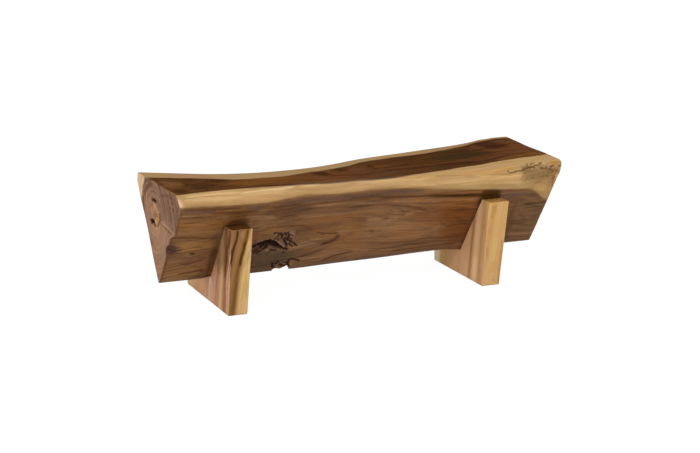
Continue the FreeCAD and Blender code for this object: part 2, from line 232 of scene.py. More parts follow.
def layered(u, v, seed, layers=3):
    """Noise of several sizes added up, from about -1 to 1."""
    total = 0
    for k in range(layers):
        total = total + (2 * noise(u * 2**k, v * 2**k, seed + 17 * k) - 1) / 1.8**k
    return total / 1.6


# The log's shape

def trunk_at(x):
    """Middle across, half width and half height of the natural trunk at places along X."""
    along = -TRUNK_SHARES[:, 0] * LEFT_END
    across = smooth_curve(along, TRUNK_SHARES[:, 1] * TRUNK_WIDTH, x)
    half_width = smooth_curve(along, TRUNK_SHARES[:, 2] * TRUNK_WIDTH, x)
    half_height = smooth_curve(along, TRUNK_SHARES[:, 3] * DEPTH, x)
    return across, half_width, half_height


def front_plane(z):
    """Y of the sawn front at a height."""
    return KEEL_FRONT + (FRONT_REACH - KEEL_FRONT) * (z - KEEL_Z) / DEPTH


def back_plane(z):
    """Y of the sawn back at a height."""
    return KEEL_BACK + (BACK_REACH - KEEL_BACK) * (z - KEEL_Z) / DEPTH


def round_line(side, across, half_width, half_height):
    """The trunk's natural round between the sawn side and the flat top, from below up."""
    plane = front_plane if side < 0 else back_plane
    heights = np.linspace(KEEL_Z, SEAT_Z, 400)
    depth = (heights - TRUNK_Z) / half_height
    natural = across + side * half_width * np.sqrt(np.clip(1 - depth**2, 0, 1))
    inside = side * natural < side * plane(heights)
    upper = heights > TRUNK_Z
    low = heights[inside & upper].min() if (inside & upper).any() else SEAT_Z
    low = min(low, SEAT_Z - 4)
    first = math.asin((low - TRUNK_Z) / half_height)
    last = math.asin((SEAT_Z - TRUNK_Z) / half_height)
    angles = np.linspace(first, last, 40)
    z = TRUNK_Z + half_height * np.sin(angles)
    y = across + side * half_width * np.cos(angles)
    y = side * np.minimum(side * y, side * plane(z))
    return np.column_stack([y, z])


def spread(line, count, trim_start, trim_end, closer=None):
    """Spaced points of a line, which leave its ends to the rounded corners."""
    reach = np.concatenate([[0], np.cumsum(np.hypot(*np.diff(line, axis=0).T))])
    start = min(trim_start, 0.4 * reach[-1])
    end = reach[-1] - min(trim_end, 0.4 * reach[-1])
    shares = np.linspace(0, 1, count)
    if closer:
        shares = np.interp(shares, *closer)
    places = start + (end - start) * shares
    return np.column_stack([np.interp(places, reach, line[:, k]) for k in (0, 1)])


def rounded(before, corner, after):
    """The few points that take a section round a corner."""
    t = np.linspace(0, 1, CORNER_ROWS + 2)[1:-1, None]
    return (1 - t) ** 2 * before + 2 * t * (1 - t) * corner + t**2 * after


# faces of the log, in the order of a section's points
ZONES = ("keel", "front", "belt", "top", "back_round", "back")
ZONE_ROWS = (3, FRONT_ROWS, BELT_ROWS, TOP_ROWS, BACK_ROUND_ROWS, BACK_ROWS)
# radius of the corner after each zone
CORNER_EASE = (1.6, 9, 15, 8, 6, 1.6)


def section(x):
    """One section of the log as (y, z) points, from the keel up the front and over the top."""
    sizes = trunk_at(float(x))
    front = round_line(-1, *sizes)
    back = round_line(1, *sizes)[::-1]
    keel = [np.array((KEEL_BACK, KEEL_Z)), np.array((KEEL_FRONT, KEEL_Z))]
    lines = [
        np.array(keel),
        np.array([keel[1], front[0]]),
        front,
        np.array([front[-1], back[0]]),
        back,
        np.array([back[-1], keel[0]]),
    ]
    runs = [
        spread(line, rows, CORNER_EASE[k - 1], CORNER_EASE[k], FRONT_CLOSER if k == 1 else None)
        for k, (line, rows) in enumerate(zip(lines, ZONE_ROWS))
    ]
    points = []
    for k, run in enumerate(runs):
        following = runs[(k + 1) % len(runs)]
        points += [run, rounded(run[-1], lines[k][-1], following[0])]
    return np.concatenate(points)


def zone_of_columns():
    """The face of the log that each point of a section belongs to."""
    zones = []
    for k, rows in enumerate(ZONE_ROWS):
        zones += [k] * (rows + CORNER_ROWS // 2)
        zones += [(k + 1) % len(ZONES)] * (CORNER_ROWS - CORNER_ROWS // 2)
    return np.array(zones)


def station_places():
    """Where the sections stand along X, closer together beside the hollow and the cracks."""
    places = np.concatenate([np.arange(start, end, step) for start, end, step in SPANS])
    inner = (places > LEFT_END + 2 * ARRIS) & (places < RIGHT_END - 2 * ARRIS)
    return places[inner]


def left_end_shift(y):
    """How far the skewed saw cut of the left end stands from a square one."""
    return -math.tan(LEFT_SKEW) * (y - KEEL_LINE)


def right_end_shift(y, z):
    """The same for the right end, which also leans."""
    return math.tan(RIGHT_SKEW) * (y - KEEL_LINE) + math.tan(RIGHT_LEAN) * (z - KEEL_Z)


def arris_share(line, centre, inset):
    """How much of its reach from the centre a section keeps when it is set in."""
    reach = np.hypot(*(line - centre).T)[:, None]
    return 1 - inset / reach


def end_rings(x, inward, line):
    """Rings of one end, from its middle outwards and round its arris."""
    centre = np.array(CAP_CENTRE, float)
    rings = []
    for share in np.linspace(0, 1, CAP_RINGS + 1)[1:-1]:
        rings.append((x, centre + (line - centre) * share * arris_share(line, centre, ARRIS)))
    for angle in np.radians([0, 22.5, 45, 67.5]):
        place = x + inward * ARRIS * (1 - math.cos(angle))
        inset = ARRIS * (1 - math.sin(angle))
        rings.append((place, centre + (line - centre) * arris_share(line, centre, inset)))
    return rings


def log_points():
    """Rings of vertices before carving, from the middle of the left end to that of the right."""
    rings = end_rings(LEFT_END, 1, section(LEFT_END))
    rings += [(x, section(x)) for x in station_places()]
    rings += end_rings(RIGHT_END, -1, section(RIGHT_END))[::-1]
    return np.array([np.column_stack([np.full(len(line), x), line]) for x, line in rings])


def log_quads(rings, columns):
    """Quads between neighbouring rings."""
    i, j = np.meshgrid(np.arange(rings - 1), np.arange(columns), indexing="ij")
    a = i * columns + j
    b = i * columns + (j + 1) % columns
    return np.stack([a, a + columns, b + columns, b], -1).reshape(-1, 4)


# Strokes: lines on a face, each with a width, a colour and a strength

def near_line(u, v, points, reach):
    """Which places lie in the box round a line, with some reach to spare."""
    low = np.min(points, axis=0) - reach
    high = np.max(points, axis=0) + reach
    return (u > low[0]) & (u < high[0]) & (v > low[1]) & (v < high[1])


def distance_to(u, v, points):
    """Distance from each place to a line through given points, and the share along it."""
    points = np.array(points, float)
    best = np.full(u.shape, 1e9)
    along = np.zeros(u.shape)
    lengths = np.hypot(*np.diff(points, axis=0).T)
    starts = np.concatenate([[0], np.cumsum(lengths)])
    for p, q, length, start in zip(points[:-1], points[1:], lengths, starts):
        direction = (q - p) / length
        reach = np.clip((u - p[0]) * direction[0] + (v - p[1]) * direction[1], 0, length)
        gap = np.hypot(u - p[0] - reach * direction[0], v - p[1] - reach * direction[1])
        nearer = gap < best
        best = np.where(nearer, gap, best)
        along = np.where(nearer, (start + reach) / starts[-1], along)
    return best, along


class Paint:
    """Colours the vertices of the log."""

    def __init__(self, count, name):
        self.colour = np.tile(linear(COLOURS[name]), (count, 1))

    def blend(self, name, amount):
        """Mixes a named colour in by an amount for each vertex."""
        amount = np.clip(amount, 0, 1)[:, None]
        self.colour = self.colour * (1 - amount) + linear(COLOURS[name]) * amount

    def stroke(self, u, v, mask, points, width, name, strength):
        """A soft line that thins out towards its ends."""
        near = near_line(u, v, points, 3 * width) & (mask > 0)
        u, v = u[near], v[near]
        gap, along = distance_to(u, v, points)
        ends = ease(along, -0.001, 0.12) * ease(along, 1.001, 0.88)
        ragged = width * (0.7 + 0.6 * noise(u / 31, v / 4.5, len(points) + width))
        amount = np.zeros(len(near))
        amount[near] = strength * mask[near] * ends * np.exp(-((gap / ragged) ** 2))
        self.blend(name, amount)

    def patch(self, u, v, mask, place, reach, name, strength):
        """A soft oval of colour with an uneven edge."""
        gap = np.hypot((u - place[0]) / reach[0], (v - place[1]) / reach[1])
        gap = gap + 0.3 * layered(u / (0.7 * reach[0]), v / (0.5 * reach[1]), reach[0], 2)
        self.blend(name, strength * mask * ease(gap, 1.25, 0.5))

    def strokes(self, u, v, mask, table):
        """Every line of a table, in its order."""
        for points, width, name, strength in table:
            self.stroke(u, v, mask, points, width, name, strength)

    def patches(self, u, v, mask, table):
        """Every patch of a table, in its order."""
        for place, reach, name, strength in table:
            self.patch(u, v, mask, place, reach, name, strength)

    def grown(self, figure, mask, table):
        """The wood's own figure: each colour where a layer of the figure goes from low to high."""
        for name, strength, layer, low, high in table:
            self.blend(name, strength * mask * ease(figure[layer], low, high))


# Where the pale sapwood meets the brown heartwood: X with Z on the front, X with Y on the top

BELT_BOTTOM = [
    (-748, 420), (-700, 419), (-600, 417), (-500, 412), (-450, 412), (-400, 415), (-350, 420),
    (-300, 425), (-200, 422), (-100, 420), (0, 424), (100, 417), (200, 402), (300, 390),
    (400, 380), (450, 376), (500, 369), (560, 364), (600, 361), (633, 355), (650, 346),
    (665, 336), (685, 322), (700, 312), (740, 295),
]
BELT_TOP = [
    (-736, -221), (-649, -212), (-468, -212), (-274, -222), (-156, -232), (0, -245),
    (102, -236), (200, -225), (283, -216), (350, -197), (430, -182), (506, -165),
    (550, -162), (600, -160), (650, -159), (705, -148), (740, -132),
]
BACK_STRIP = [
    (-745, 85), (-700, 60), (-600, 10), (-540, -25), (-500, -52), (-450, -68), (-400, -75),
    (-300, -83), (-250, -74), (-200, -58), (-130, -48), (-50, -22), (0, -3), (50, 26), (100, 42),
    (200, 58), (300, 72), (400, 97), (450, 112), (500, 131), (550, 153), (600, 182), (650, 204),
    (700, 204), (740, 190),
]

# The figure of the wood. Growth is (colour, strength, layer, low, high), lines are
# (points, width, colour, strength), patches are (place, reach, colour, strength).

HEART_GROWTH = [
    ("heart_deep", 0.75, "bands", 0.05, 0.8),
    ("heart_pale", 0.6, "bands", -0.1, -0.8),
    ("heart_deep", 0.45, "lines", 0.15, 0.9),
    ("heart_pale", 0.3, "lines", -0.2, -0.9),
    ("heart_orange", 0.5, "tint", 0.1, 0.9),
    ("purple", 0.3, "tint", -0.1, -0.9),
    ("heart_deep", 0.3, "drift", 0.1, 0.8),
]
TOP_GROWTH = [
    ("top_deep", 0.65, "bands", 0.1, 0.9),
    ("top_pale", 0.4, "bands", -0.2, -0.9),
    ("top_deep", 0.35, "lines", 0.1, 0.9),
]
SAPWOOD_GROWTH = [
    ("sapwood_pale", 0.45, "bands", 0, -0.9),
    ("sapwood_low", 0.22, "bands", 0.1, 0.9),
    ("sapwood_orange", 0.2, "tint", 0.1, 0.8),
]
FRONT_PATCHES = [
    ((-650, 335), (100, 42), "heart_orange", 0.5),
    ((-590, 345), (48, 20), "heart_orange", 0.45),
    ((-650, 248), (82, 30), "heart_olive", 0.85),
    ((-660, 140), (100, 40), "heart_red", 0.35),
    ((-655, 178), (18, 14), "heart_red", 0.6),
    ((-734, 240), (20, 24), "plum", 0.85),
    ((-430, 275), (22, 18), "heart_red", 0.5),
    ((-350, 355), (120, 50), "heart_deep", 0.55),
    ((-640, 135), (90, 32), "heart_gold", 0.6),
    ((190, 240), (110, 46), "heart_warm", 0.85),
    ((-30, 190), (90, 40), "heart_warm", 0.45),
    ((330, 320), (60, 26), "heart_orange", 0.6),
    ((-345, 148), (88, 50), "mould", 0.85),
    ((-385, 118), (70, 26), "mould", 0.7),
    ((-300, 255), (26, 22), "pink_grey", 0.6),
    ((-370, 290), (70, 22), "heart_gold", 0.35),
    ((-200, 160), (60, 16), "purple", 0.5),
    ((-60, 230), (80, 70), "heart_orange", 0.35),
    ((30, 250), (60, 60), "heart_pale", 0.4),
    ((-90, 245), (50, 10), "heart_pale", 0.5),
    ((95, 282), (24, 12), "heart_pale", 0.8),
    ((156, 298), (20, 11), "heart_pale", 0.7),
    ((190, 170), (120, 46), "purple", 0.2),
    ((150, 245), (120, 36), "heart_pale", 0.5),
    ((345, 330), (85, 22), "heart_orange", 0.7),
    # darker warm heartwood left of the right leg, partly painted shadow of the leg
    ((300, 290), (150, 60), "heart_rust", 0.45),
    ((365, 275), (84, 52), "heart_rust", 0.8),
    ((362, 290), (32, 13), "umber", 0.35),
    ((380, 190), (74, 62), "heart_rust", 0.7),
    ((380, 172), (44, 12), "umber", 0.35),
    ((560, 336), (84, 13), "purple", 0.7),
    ((640, 290), (90, 44), "heart_deep", 0.35),
    ((655, 215), (110, 92), "heart_moss", 0.75),
    # darker heartwood under the belt, partly painted shade under its overhang
    ((-90, 365), (220, 34), "heart_deep", 0.3),
    ((-330, 368), (90, 24), "heart_deep", 0.5),
    ((160, 190), (100, 36), "heart_warm", 0.6),
    ((-285, 150), (56, 38), "mould", 0.55),
    ((-660, 128), (90, 34), "heart_pale", 0.3),
    ((640, 205), (40, 16), "heart_deep", 0.5),
    # darker heartwood under the belt, partly painted shade under its overhang
    ((-330, 372), (80, 14), "heart_deep", 0.35),
    ((-655, 300), (80, 70), "heart_gold", 0.2),
    ((-140, 265), (100, 50), "heart_warm", 0.2),
]
FRONT_FIGURE = [
    ([(-748, 402), (-690, 398), (-640, 396), (-600, 390)], 9, "purple", 0.85),
    # painted shadow along the belt's lower edge
    ([(-748, 414), (-640, 406), (-560, 402), (-500, 396)], 5, "umber", 0.7),
    ([(-505, 400), (-470, 394), (-430, 388)], 10, "purple", 0.8),
    ([(-400, 398), (-330, 404), (-250, 406), (-120, 402), (40, 404), (160, 398)], 10, "purple", 0.8),
    ([(-748, 378), (-680, 374), (-620, 366), (-560, 356)], 4, "heart_deep", 0.8),
    ([(-630, 386), (-570, 384), (-510, 380), (-440, 378)], 7, "umber", 0.7),
    ([(-430, 384), (-325, 390), (-200, 386), (-80, 384), (20, 384)], 4, "umber", 0.75),
    ([(-120, 394), (-20, 392), (70, 386)], 5, "umber", 0.5),
    ([(-748, 392), (-700, 388)], 4, "heart_pale", 0.5),
    ([(-740, 352), (-660, 356), (-600, 350)], 3, "heart_deep", 0.5),
    ([(-690, 318), (-620, 312), (-560, 300)], 4, "heart_gold", 0.6),
    ([(-740, 310), (-690, 306), (-640, 300)], 4, "heart_pale", 0.45),
    ([(-755, 297), (-675, 290), (-625, 280), (-560, 272)], 3.5, "umber", 0.95),
    ([(-700, 283), (-630, 268), (-590, 262)], 3, "heart_deep", 0.5),
    ([(-745, 214), (-690, 224), (-600, 232)], 4, "heart_deep", 0.5),
    ([(-690, 196), (-640, 200), (-590, 190)], 4, "heart_deep", 0.55),
    ([(-746, 250), (-726, 252), (-700, 248)], 3.5, "plum", 0.95),
    ([(-746, 236), (-722, 238), (-694, 238)], 4, "plum", 0.95),
    ([(-744, 224), (-724, 226), (-706, 228)], 3, "plum", 0.8),
    ([(-746, 244), (-728, 245)], 2, "top_pale", 0.5),
    ([(-745, 186), (-680, 190)], 4, "heart_pale", 0.4),
    ([(-690, 180), (-655, 168), (-640, 176), (-600, 180)], 3.5, "plum", 0.55),
    ([(-740, 152), (-690, 150), (-630, 158), (-590, 150)], 3.5, "umber", 0.4),
    ([(-690, 131), (-640, 134), (-585, 140)], 4, "umber", 0.75),
    ([(-735, 128), (-670, 120), (-600, 118)], 3.5, "umber", 0.3),
    ([(-640, 108), (-590, 116)], 4, "umber", 0.6),
    ([(-742, 104), (-660, 103), (-600, 104)], 3, "heart_gold", 0.5),
    ([(-495, 360), (-430, 352), (-375, 346)], 3.5, "heart_pale", 0.8),
    ([(-470, 346), (-420, 342), (-365, 336)], 3.5, "heart_pale", 0.85),
    ([(-440, 330), (-330, 320)], 4, "heart_pale", 0.5),
    ([(-450, 312), (-400, 308)], 3, "heart_gold", 0.6),
    ([(-440, 362), (-350, 358), (-280, 352)], 4, "heart_deep", 0.5),
    ([(-340, 370), (-260, 366), (-180, 366)], 4, "heart_deep", 0.45),
    ([(-250, 377), (-150, 373), (-60, 369), (30, 358)], 3.5, "heart_pale", 0.6),
    ([(-110, 362), (10, 354), (120, 338)], 3.5, "heart_deep", 0.6),
    ([(-300, 340), (-200, 330), (-100, 322)], 4, "heart_pale", 0.35),
    ([(-300, 350), (-190, 345), (-90, 340)], 5, "purple", 0.4),
    ([(-410, 300), (-330, 299), (-262, 295), (-220, 272), (-195, 256)], 3.5, "umber", 0.8),
    ([(-200, 258), (-160, 246), (-113, 243), (-104, 228)], 4, "umber", 0.95),
    ([(-106, 240), (-102, 226), (-112, 212), (-134, 203), (-165, 194)], 7, "umber", 1.0),
    ([(-230, 232), (-202, 212), (-168, 216), (-145, 226)], 2.6, "heart_deep", 0.6),
    ([(-150, 300), (-120, 282), (-90, 300)], 3, "heart_deep", 0.5),
    ([(-250, 282), (-180, 262), (-130, 256), (-70, 262)], 4, "heart_red", 0.5),
    ([(-232, 152), (-200, 156), (-136, 177)], 4.6, "umber", 0.7),
    ([(-190, 190), (-140, 196), (-80, 214), (-40, 246)], 3.5, "heart_deep", 0.4),
    ([(-140, 118), (-92, 137), (-50, 143), (-20, 146), (-17, 136)], 4.6, "umber", 0.95),
    ([(-200, 120), (-120, 112), (-20, 118)], 4, "heart_deep", 0.4),
    ([(-250, 180), (-200, 200)], 4, "heart_grey", 0.6),
    ([(-30, 320), (40, 300), (100, 306)], 4, "heart_deep", 0.35),
    ([(15, 242), (36, 232), (24, 220)], 3.5, "heart_deep", 0.75),
    ([(-20, 200), (60, 204), (110, 196)], 4, "heart_deep", 0.35),
    ([(20, 410), (100, 404), (190, 394)], 5, "purple", 0.85),
    ([(-20, 386), (90, 381), (230, 371), (340, 359), (450, 350)], 6.5, "umber", 1.0),
    ([(200, 373), (340, 359), (450, 350), (500, 346)], 6, "shade", 0.95),
    ([(180, 388), (300, 378), (450, 366)], 7, "heart_orange", 0.5),
    ([(40, 364), (150, 354), (300, 342), (440, 333)], 4, "heart_pale", 0.8),
    ([(60, 348), (130, 336), (190, 318), (236, 299)], 4.5, "umber", 0.8),
    ([(100, 322), (180, 302), (240, 284)], 4, "heart_deep", 0.4),
    ([(260, 322), (350, 312), (430, 304)], 3.5, "heart_gold", 0.5),
    ([(300, 242), (338, 221), (395, 227), (430, 224)], 3.2, "umber", 0.65),
    ([(346, 262), (390, 240), (425, 236)], 3, "umber", 0.6),
    ([(240, 260), (300, 250), (340, 254)], 4, "heart_deep", 0.4),
    ([(60, 168), (150, 166), (215, 164), (270, 176), (340, 166), (425, 160)], 4, "umber", 0.6),
    ([(40, 182), (140, 190), (250, 196), (330, 186)], 4, "heart_pale", 0.4),
    ([(20, 140), (140, 146), (250, 150), (420, 144)], 5, "heart_deep", 0.6),
    ([(130, 127), (280, 126), (420, 130)], 5, "umber", 0.85),
    ([(0, 112), (150, 112), (420, 114)], 5, "heart_deep", 0.6),
    ([(470, 361), (560, 356), (625, 350), (655, 338)], 4.5, "heart_red", 0.8),
    ([(600, 344), (650, 328), (700, 300)], 8, "purple", 0.5),
    ([(-250, 105), (-100, 105), (100, 105), (300, 110)], 6, "heart_grey", 0.55),
    ([(120, 362), (230, 350), (310, 343), (410, 330)], 4, "heart_orange", 0.6),
    ([(-664, 221), (-651, 215), (-636, 213)], 5.5, "umber", 0.9),
    ([(600, 330), (660, 306), (714, 280)], 4, "heart_gold", 0.45),
    ([(600, 300), (660, 284), (716, 262)], 4, "heart_deep", 0.5),
    ([(625, 244), (650, 226), (675, 208)], 4.5, "heart_deep", 0.6),
    ([(620, 200), (680, 186), (722, 178)], 4, "heart_deep", 0.55),
    ([(620, 160), (680, 152), (722, 146)], 4, "heart_deep", 0.5),
    ([(620, 120), (722, 114)], 3, "heart_pale", 0.5),
    ([(190, 376), (215, 373), (300, 365), (381, 357), (430, 353)], 9, "shade", 0.4),
]
# painted shade on the log near the legs, where they keep the light from it
LEG_SHADES = [
    ((-567, 165), (15, 90), "shade", 0.55),
    ((-590, 120), (26, 26), "umber", 0.4),
    ((-515, 372), (54, 18), "umber", 0.5),
    ((-545, 322), (20, 14), "shade", 0.6),
    ((-412, 140), (10, 60), "shade", 0.45),
    ((430, 200), (8, 120), "umber", 0.4),
    ((610, 170), (14, 60), "umber", 0.45),
    ((590, 240), (12, 60), "umber", 0.4),
]
# crisp-edged shades above the legs' ears: right edge, reach to the left, top, strength
EAR_SHADES = [
    (-479, 50, 353, 0.66),
    (492, 60, 378, 0.85),
]
EAR_SLOPE = 0.43
TOP_PATCHES = [
    ((-700, -45), (40, 70), "heart_gold", 0.4),
    ((-610, -125), (56, 50), "top_deep", 0.7),
    ((-540, -60), (42, 30), "top_deep", 0.9),
    ((-712, -172), (26, 40), "umber", 0.85),
    ((-400, -130), (120, 60), "top_gold", 0.85),
    ((-300, -140), (80, 50), "top_gold", 0.5),
    ((-155, -95), (34, 36), "top_deep", 0.95),
    ((-150, -165), (90, 30), "heart_red", 0.6),
    ((-68, -60), (30, 34), "umber", 0.85),
    ((55, -60), (18, 42), "umber", 0.8),
    ((-10, -100), (34, 60), "heart_red", 0.5),
    ((624, 96), (50, 84), "top_plum", 0.75),
    ((480, 60), (110, 32), "top_deep", 0.8),
    ((430, -10), (140, 54), "top_olive", 0.95),
    ((285, -170), (50, 22), "top_olive", 0.7),
    ((80, -178), (30, 16), "purple", 0.7),
    ((660, -20), (72, 74), "heart_red", 0.5),
    ((650, -105), (70, 24), "heart_orange", 0.6),
    ((90, -60), (34, 22), "top_gold", 0.6),
]
TOP_FIGURE = [
    ([(520, -146), (600, -138), (680, -126), (735, -108)], 11, "heart_orange", 0.5),
    ([(-745, 72), (-700, 52), (-640, 14), (-595, -8), (-550, -38), (-500, -66)], 8, "umber", 0.9),
    ([(-650, 0), (-600, -36)], 8, "top_deep", 0.5),
    ([(-450, -84), (-380, -92), (-300, -98), (-240, -88)], 6, "top_gold", 0.7),
    ([(-560, -204), (-470, -203), (-400, -204), (-340, -216), (-280, -214), (-200, -224)], 7, "umber", 0.9),
    ([(-220, -222), (-150, -224), (-60, -214), (10, -228), (90, -228)], 8, "umber", 0.8),
    ([(-500, -196), (-400, -196), (-300, -206)], 6, "top_deep", 0.5),
    ([(-185, -126), (-130, -142), (-60, -164), (10, -176)], 9, "umber", 0.85),
    ([(-124, -76), (-120, -110)], 5, "top_pale", 0.6),
    ([(-60, -36), (-10, -22), (20, 12), (65, 28), (140, 40)], 7, "umber", 0.95),
    ([(140, 40), (290, 58), (390, 82), (440, 88), (510, 108)], 8, "umber", 0.95),
    ([(500, 104), (590, 150), (650, 186), (730, 176)], 9, "top_deep", 0.95),
    ([(35, -40), (110, -18), (180, 0), (270, 10)], 7, "umber", 0.8),
    ([(70, -66), (130, -56), (205, -40)], 5, "top_pale", 0.85),
    ([(85, -86), (140, -80), (190, -70), (240, -50)], 5, "top_deep", 0.9),
    ([(80, -108), (180, -112), (270, -110), (360, -100), (440, -92)], 6, "top_pale", 0.85),
    ([(50, -132), (130, -136), (200, -136), (340, -128), (405, -126), (490, -130)], 8, "top_plum", 0.95),
    ([(470, -134), (540, -114), (590, -98), (680, -90)], 8, "top_plum", 0.8),
    ([(60, -200), (150, -206), (210, -206), (300, -196), (360, -180)], 6, "umber", 0.8),
    ([(300, -160), (380, -152), (470, -150), (530, -140)], 7, "top_deep", 0.7),
    ([(560, 60), (600, 20), (640, -20)], 8, "top_pale", 0.4),
    ([(500, 74), (560, 78)], 4, "top_pale", 0.5),
    ([(430, -50), (450, -46)], 7, "top_plum", 0.7),
    ([(-740, 30), (-690, -10), (-640, -50)], 7, "top_deep", 0.4),
]
BELT_FIGURE = [
    ([(-745, 440), (-600, 436), (-450, 440), (-320, 446)], 6, "sapwood_pale", 0.6),
    ([(-300, 440), (-160, 438), (0, 440)], 5, "sapwood_low", 0.3),
    ([(-100, 446), (60, 444), (200, 438)], 5, "sapwood_pale", 0.5),
    ([(90, 425), (200, 414), (330, 404)], 4, "sapwood_low", 0.4),
    ([(240, 449), (330, 444), (430, 443), (553, 449)], 7, "sapwood_orange", 0.55),
    ([(480, 449), (553, 451)], 5, "sapwood_orange", 0.5),
    # painted highlights along the belt's upper edge, where it turns
    ([(-720, 450), (-560, 450), (-500, 449)], 2.2, "belt_highlight", 0.8),
    ([(-520, 447), (-420, 448), (-300, 450)], 2.2, "belt_highlight", 0.85),
    ([(-300, 449), (-100, 450), (100, 449)], 2, "belt_highlight", 0.6),
    ([(-748, 446), (-742, 430), (-746, 420)], 9, "cream", 0.8),
    ([(250, 430), (360, 424), (470, 414)], 6, "sapwood_olive", 0.4),
    ([(200, 447), (330, 441), (430, 437), (520, 434)], 1.8, "sapwood_low", 0.55),
    ([(360, 438), (460, 430), (550, 424)], 5, "sapwood_pale", 0.5),
    ([(390, 400), (470, 392), (560, 382)], 5, "sapwood_low", 0.4),
    ([(560, 434), (620, 424), (683, 414)], 14, "sapwood_rough", 0.85),
    ([(556, 424), (610, 408), (660, 396)], 12, "sapwood_rough", 0.55),
    ([(600, 410), (660, 398), (715, 392)], 12, "sapwood_rough", 0.75),
    ([(690, 424), (716, 416)], 14, "sapwood_rough", 0.8),
    ([(560, 400), (620, 388), (700, 372)], 14, "sapwood_rough", 0.25),
    ([(640, 372), (700, 350)], 14, "sapwood_orange", 0.2),
    ([(690, 455), (716, 448)], 8, "bark_gold", 0.9),
    ([(610, 454), (670, 449)], 5, "sapwood_pale", 0.5),
    ([(704, 430), (716, 390), (716, 340)], 16, "sapwood_low", 0.35),
    ([(430, 436), (500, 431), (548, 429)], 2, "sapwood_low", 0.6),
    ([(330, 436), (400, 433)], 1.8, "sapwood_low", 0.5),
    ([(80, 446), (150, 446), (240, 442)], 7, "sapwood_orange", 0.35),
    ([(400, 433), (480, 431), (545, 428)], 9, "sapwood_orange", 0.35),
    ([(560, 440), (600, 425), (660, 410), (700, 400)], 22, "heart_olive", 0.42),
]
# on the left end, in Y and Z
END_FIGURE = [
    ([(70, 356), (40, 350), (20, 340)], 16, "end_pink", 0.7),
    ([(26, 374), (-10, 370), (-36, 352), (-32, 332), (-10, 324)], 13, "end_bright", 0.8),
    ([(44, 356), (24, 336), (30, 322)], 7, "end_bright", 0.5),
    ([(10, 352), (-4, 346), (4, 336)], 4, "end_deep", 0.5),
    ([(-12, 360), (-24, 350)], 4, "end_light", 0.9),
    ([(4, 318), (-12, 315), (-22, 312)], 7, "end_light", 1.0),
    ([(-2, 300), (-20, 294), (-30, 300)], 5, "end_bright", 0.7),
    ([(-6, 330), (-30, 318), (-44, 300)], 7, "sapwood_orange", 0.55),
    ([(-38, 344), (-50, 322), (-52, 300)], 3, "heart_rust", 0.5),
    ([(-60, 330), (-100, 322), (-150, 314), (-184, 306)], 4.5, "end_light", 0.6),
    ([(-96, 314), (-150, 306)], 2.6, "end_deep", 0.6),
    ([(40, 294), (0, 290), (-30, 300)], 4, "end_light", 0.5),
    ([(60, 262), (10, 270), (-40, 278)], 16, "end_gold", 0.4),
    ([(24, 236), (8, 226)], 20, "end_pink", 0.7),
    ([(-50, 238), (-86, 228), (-84, 206), (-52, 206)], 18, "end_olive", 0.7),
    ([(-30, 176), (-60, 170), (-80, 178)], 12, "end_pink", 0.6),
    ([(-20, 140), (-24, 116)], 12, "end_olive", 0.6),
    ([(118, 380), (106, 408), (84, 428), (56, 440), (20, 446)], 4, "end_deep", 0.9),
    ([(146, 376), (128, 412), (104, 436), (76, 452)], 4, "heart_deep", 0.9),
    ([(132, 376), (118, 408), (96, 430), (66, 446)], 3, "end_light", 0.5),
    ([(96, 372), (88, 396), (66, 416), (30, 428)], 3, "end_light", 0.4),
    ([(84, 372), (74, 392), (50, 408), (16, 416)], 3, "end_deep", 0.5),
    ([(20, 440), (-50, 436), (-100, 420), (-160, 400)], 5, "end_grey", 0.7),
    ([(-40, 416), (-80, 428), (-130, 436), (-200, 436)], 5, "end_deep", 0.55),
    ([(60, 410), (0, 414), (-60, 404)], 5, "end_pink", 0.6),
    ([(-70, 344), (-130, 330), (-200, 336)], 10, "end_pink", 0.35),
    ([(-235, 440), (-243, 420), (-236, 396)], 6, "end_deep", 0.6),
    ([(-120, 240), (-106, 236)], 8, "plum", 0.5),
]

# Carved lines: (points, half width, depth)

